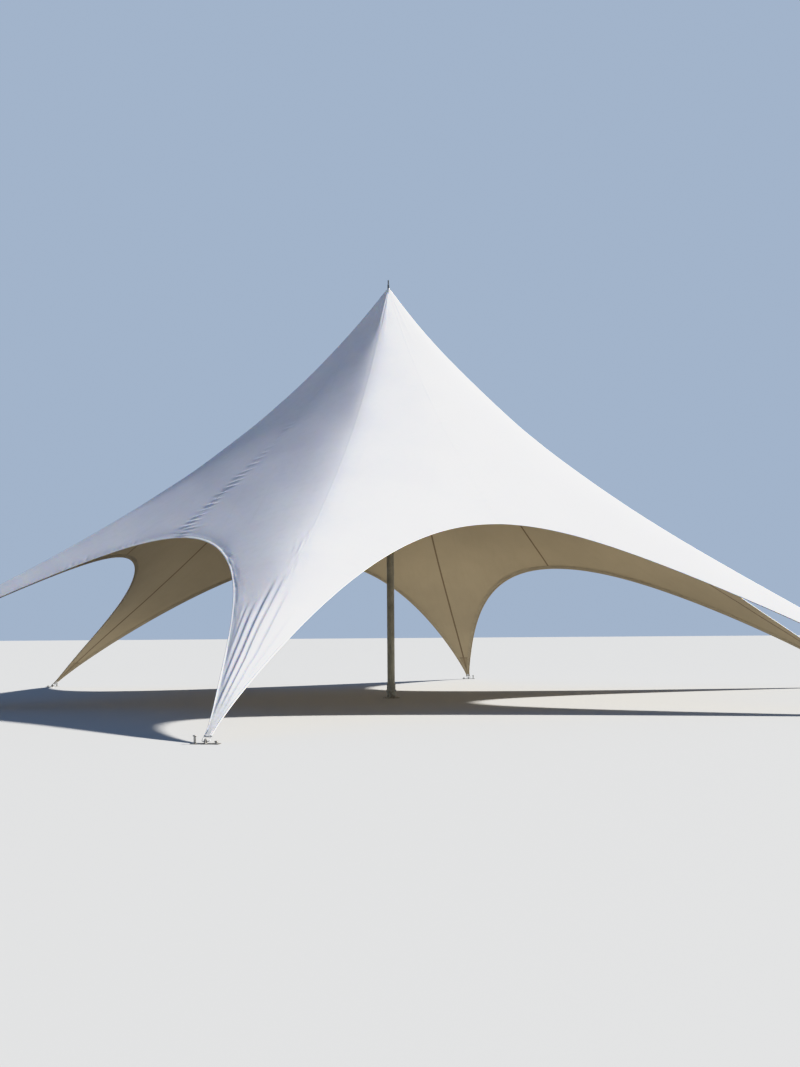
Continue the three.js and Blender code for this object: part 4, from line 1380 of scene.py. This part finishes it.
lathe_bm(bm, [(0, -0.0065), (0.0024, -0.0065), (0.0024, 0.0065), (0, 0.0065)], 16, Matrix.Translation((0.0222, 0, 6.1890)) @ Matrix.Rotation(math.pi / 2, 4, "X"))
ob = sharp(from_bmesh(bm, "peak_cap_clamp"), 35)
give(ob, zinc, "fittings")

# ---------------------------------------------------------------------------
# leg tips: folded cuff, webbing loop, link and ground anchor
# ---------------------------------------------------------------------------
def cuff_material():
    m = Tree("tip_cuff_cloth")
    obj = m.coords()
    a = m.noise(obj, 14.0, 5.0, 0.6)
    color = m.mix(m.ramp(a, 0.35, 0.72), (0.76, 0.76, 0.755), (0.62, 0.62, 0.60))
    low = m.ramp(m.separate(obj)[2], 0.02, 0.10, 1.0, 0.0)
    color = m.mix(m.math("MULTIPLY", low, 0.35), color, (0.36, 0.34, 0.27))
    n = m.bump(m.noise(obj, 60.0, 4.0, 0.6), 0.5, 0.0012)
    return m.finish(color, 0.6, 0.0, n, 0.35)


cuff_mat = cuff_material()


def tip_frame(k):
    z8450 = float(cloth_z(np.array(8.45), np.array(0.0), k))
    z8410 = float(cloth_z(np.array(8.41), np.array(0.0), k))
    return z8450, math.atan((z8410 - z8450) / 0.04)


def tip_pieces(k):
    L = LEGS[k]
    rng = np.random.RandomState(400 + k)
    z0, tilt = tip_frame(k)
    M = Matrix.Rotation(-math.pi / 2 + math.pi / 3 * k, 4, "Z")
    ct, st = math.cos(tilt), math.sin(tilt)

    # cuff: the cloth's end folded twice over a bar
    bm = bmesh.new()
    n = 44
    path, rad = [], []
    for i in range(n + 1):
        y = -0.0375 + 0.075 * i / n
        path.append((8.4455 + 0.0009 * math.sin(2.1 * i + k), y, z0 + 0.0008 + 0.0006 * math.sin(1.3 * i)))
        edge = min(1.0, math.sqrt(max(0.0, 1 - (abs(y) / 0.0385) ** 10)))
        rad.append(0.0095 * (0.35 + 0.65 * edge) + 0.0004 * math.sin(2.7 * i + 2 * k))
    tube_bm(bm, path, rad, 20)
    bmesh.ops.transform(bm, matrix=M, verts=bm.verts)
    ob = sharp(from_bmesh(bm, f"tip_cuff_{L}"), 60)
    give(ob, cuff_mat, "canopy_cloth")

    # webbing loop round the cuff and the link's near bar
    bar = Vector((8.4590 + 0.0 * ct, 0, z0 - 0.003 - 0.004 * st))
    r = 0.0056

    def skin(x, up):
        z = float(cloth_z(np.array(x), np.array(0.0), k))
        return z + up * 0.0085

    side = [(8.3700, skin(8.3700, 1)), (8.3850, skin(8.3850, 1)), (8.4050, skin(8.4050, 1.05)), (8.4250, skin(8.4250, 1.2)), (8.4360, z0 + 0.0135), (8.4455, z0 + 0.0128)]
    wrap = [(bar.x + r * math.cos(t), bar.z + r * math.sin(t)) for t in np.linspace(1.25, -1.25, 11)]
    under = [(8.4455, z0 - 0.0112), (8.4360, z0 - 0.0105), (8.4250, skin(8.4250, -1.2)), (8.4050, skin(8.4050, -1.05)), (8.3850, skin(8.3850, -1)), (8.3700, skin(8.3700, -1))]
    line = [Vector((x, 0, z)) for x, z in side + wrap + under]
    bm = bmesh.new()
    uv = bm.loops.layers.uv.new("strap")
    half, t = 0.0200, 0.0012
    run, rings = 0.0, []
    for i, p in enumerate(line):
        if i:
            run += (p - line[i - 1]).length
        d = (line[min(i + 1, len(line) - 1)] - line[max(i - 1, 0)]).normalized()
        nrm = Vector((-d.z, 0, d.x))
        ring = []
        for yy, h in ((-half, 0), (-half + 0.0006, t), (0, t), (half - 0.0006, t), (half, 0), (half - 0.0006, -t), (0, -t), (-half + 0.0006, -t)):
            ring.append((bm.verts.new(p + nrm * h + Vector((0, yy, 0))), yy, run))
        rings.append(ring)
    for a, b in zip(rings, rings[1:]):
        for j in range(8):
            q = (j + 1) % 8
            f = bm.faces.new((a[j][0], a[q][0], b[q][0], b[j][0]))
            for lp, src in zip(f.loops, (a[j], a[q], b[q], b[j])):
                lp[uv].uv = (0.0395 + src[1], src[2])
    bm.faces.new([v[0] for v in rings[0]][::-1])
    bm.faces.new([v[0] for v in rings[-1]])
    bmesh.ops.transform(bm, matrix=M, verts=bm.verts)
    ob = sharp(from_bmesh(bm, f"tip_strap_{L}"), 45)
    give(ob, loop_web, "hem_webbing")

    # link: a round bar bent to a rounded rectangle, its two ends welded
    a0, w0, rc = 0.070, 0.068, 0.012
    pts = []
    for cx, cy, t0 in ((a0 - rc, w0 / 2 - rc, math.pi / 2), (a0 - rc, -(w0 / 2 - rc), 0), (rc, -(w0 / 2 - rc), -math.pi / 2), (rc, w0 / 2 - rc, -math.pi)):
        for i in range(9):
            t = t0 - math.pi / 2 * i / 8
            pts.append((cx + rc * math.cos(t), cy + rc * math.sin(t)))
    path, rad = [], []
    m = len(pts)
    for i in range(m):
        p, q = pts[i], pts[(i + 1) % m]
        far = math.hypot(q[0] - p[0], q[1] - p[1])
        steps = max(1, int(far / 0.004))
        for j in range(steps):
            f = j / steps
            x, y = p[0] + (q[0] - p[0]) * f, p[1] + (q[1] - p[1]) * f
            path.append(Vector((8.459 + x * ct, y, z0 - 0.003 - (0.004 + x) * st)))
            weld = math.exp(-(((x - a0 * 0.5) / 0.0035) ** 2)) if y > 0.02 else 0.0
            rad.append(0.0040 + 0.0008 * weld)
    bm = bmesh.new()
    tube_bm(bm, path, rad, 16, True)
    bmesh.ops.transform(bm, matrix=M, verts=bm.verts)
    ob = sharp(from_bmesh(bm, f"tip_ring_{L}"), 60)
    give(ob, zinc, "fittings", f"tip_link_{L}")

    # anchor
    bx = 8.455 + 0.074 * ct
    bz = z0 - 0.003 - 0.074 * st
    bm = bmesh.new()
    box_bm(bm, (0.084, 0.260, 0.008), Matrix.Translation((bx, 0, 0.004)), 0.0018, 3)
    arc = [(bx + 0.024 * math.cos(t), bz + 0.024 * math.sin(t)) for t in np.linspace(0.4, math.pi - 0.4, 15)]
    outline = [(bx - 0.034, 0.0065), (bx + 0.034, 0.0065), (bx + 0.0245, bz + 0.008)] + arc + [(bx - 0.0245, bz + 0.008)]
    hole = [(bx + 0.011 * math.cos(t), bz + 0.011 * math.sin(t)) for t in np.linspace(0, 2 * math.pi, 28, endpoint=False)]
    prism_bm(bm, outline, 0.012, Matrix.Identity(4), 0.0012, (hole,))
    for s in (1, -1):
        xs = np.linspace(bx - 0.034, bx + 0.034, 50)
        tube_bm(bm, [(float(x), s * 0.0072, 0.0092) for x in xs], [0.0028 + 0.0005 * math.sin(9.0 * i) for i in range(50)], 8)
    for y, top, lean in ((-0.098, 0.078, rng.uniform(-0.02, 0.02)), (0.098, 0.030, rng.uniform(-0.02, 0.02))):
        W = Matrix.Translation((bx, y, 0)) @ Matrix.Rotation(lean, 4, "X")
        prof = [(0, 0.004), (0.011, 0.004), (0.011, top - 0.0125), (0.0150, top - 0.0120), (0.0180, top - 0.0085), (0.0182, top - 0.0045), (0.0165, top - 0.0012), (0.0105, top - 0.0003), (0, top)]
        vs = lathe_bm(bm, prof, 36, W)
        for v in vs:  # burr left by the hammer
            if v.co.z > top - 0.011:
                a = math.atan2(v.co.y - y, v.co.x - bx)
                k2 = 1 + 0.035 * math.sin(3 * a + k) + 0.02 * math.sin(7 * a + 2 * k)
                v.co.x, v.co.y = bx + (v.co.x - bx) * k2, y + (v.co.y - y) * k2
        lathe_bm(bm, [(0.0105, 0.008), (0.0150, 0.008), (0.0146, 0.0092), (0.0112, 0.0112)], 32, W)
    bmesh.ops.transform(bm, matrix=M, verts=bm.verts)
    ob = sharp(from_bmesh(bm, f"anchor_{L}"), 30)
    give(ob, anchor_metal, "ground_anchor", f"ground_anchor_{L}")


for k in range(6):
    tip_pieces(k)

# ---------------------------------------------------------------------------
# floor, light
# ---------------------------------------------------------------------------
me = bpy.data.meshes.new("floor")
me.from_pydata([(-300, -300, 0), (300, -300, 0), (300, 300, 0), (-300, 300, 0)], [], [(0, 1, 2, 3)])
floor = link(me, "floor")
fm = Tree("floor_plain")
fm.finish((0.56, 0.555, 0.53), 0.9, 0.0, None, 0.1)
floor.data.materials.append(fm.mat)
floor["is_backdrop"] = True

world = bpy.data.worlds.new("studio")
SCENE.world = world
world.use_nodes = True
wt = world.node_tree
bg = wt.nodes["Background"]
coord = wt.nodes.new("ShaderNodeTexCoord")
sep = wt.nodes.new("ShaderNodeSeparateXYZ")
wt.links.new(coord.outputs["Generated"], sep.inputs[0])
fill = wt.nodes.new("ShaderNodeValToRGB")
height = wt.nodes.new("ShaderNodeMapRange")
height.inputs["From Min"].default_value, height.inputs["From Max"].default_value = -0.05, 0.9
wt.links.new(sep.outputs[2], height.inputs["Value"])
wt.links.new(height.outputs["Result"], fill.inputs["Fac"])
ramp = fill.color_ramp
ramp.elements[0].position, ramp.elements[0].color = 0.0, (0.27, 0.30, 0.36, 1)
ramp.elements[1].position, ramp.elements[1].color = 1.0, (0.075, 0.135, 0.265, 1)
mid = ramp.elements.new(0.30)
mid.color = (0.165, 0.225, 0.340, 1)
back = wt.nodes.new("ShaderNodeRGB")
back.outputs[0].default_value = (0.36, 0.45, 0.60, 1)
seen = wt.nodes.new("ShaderNodeLightPath")
pick = wt.nodes.new("ShaderNodeMix")
pick.data_type = "RGBA"
wt.links.new(seen.outputs["Is Camera Ray"], pick.inputs["Factor"])
wt.links.new(fill.outputs["Color"], pick.inputs[6])
wt.links.new(back.outputs[0], pick.inputs[7])
wt.links.new(pick.outputs[2], bg.inputs["Color"])
bg.inputs["Strength"].default_value = 1.0

SUN_AZ, SUN_EL = math.radians(21), math.radians(37)
sun_data = bpy.data.lights.new("key", "SUN")
sun_data.energy = 7.05
sun_data.angle = math.radians(3)
sun_data.color = (1.0, 0.975, 0.94)
sun = bpy.data.objects.new("key", sun_data)
toward = Vector((math.cos(SUN_EL) * math.cos(SUN_AZ), math.cos(SUN_EL) * math.sin(SUN_AZ), math.sin(SUN_EL)))
sun.rotation_mode = "QUATERNION"
sun.rotation_quaternion = toward.to_track_quat("Z", "Y")
SCENE.collection.objects.link(sun)

SCENE.view_settings.view_transform = "Standard"
SCENE.view_settings.look = "None"
# a soft shoulder, as a camera gives: bright white cloth keeps its form without clipping
view = SCENE.view_settings
view.use_curve_mapping = True
cm = view.curve_mapping
cm.white_level = (2.0, 2.0, 2.0)
cm.clip_max_x, cm.clip_max_y = 1.0, 1.0
curve = cm.curves[3]
while len(curve.points) > 2:
    curve.points.remove(curve.points[1])
curve.points[0].location = (0.0, 0.0)
curve.points[-1].location = (1.0, 0.91)
for px, py in ((0.15, 0.30), (0.275, 0.55), (0.375, 0.715), (0.475, 0.835), (0.62, 0.880)):
    curve.points.new(px, py)
cm.update()

lo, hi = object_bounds()
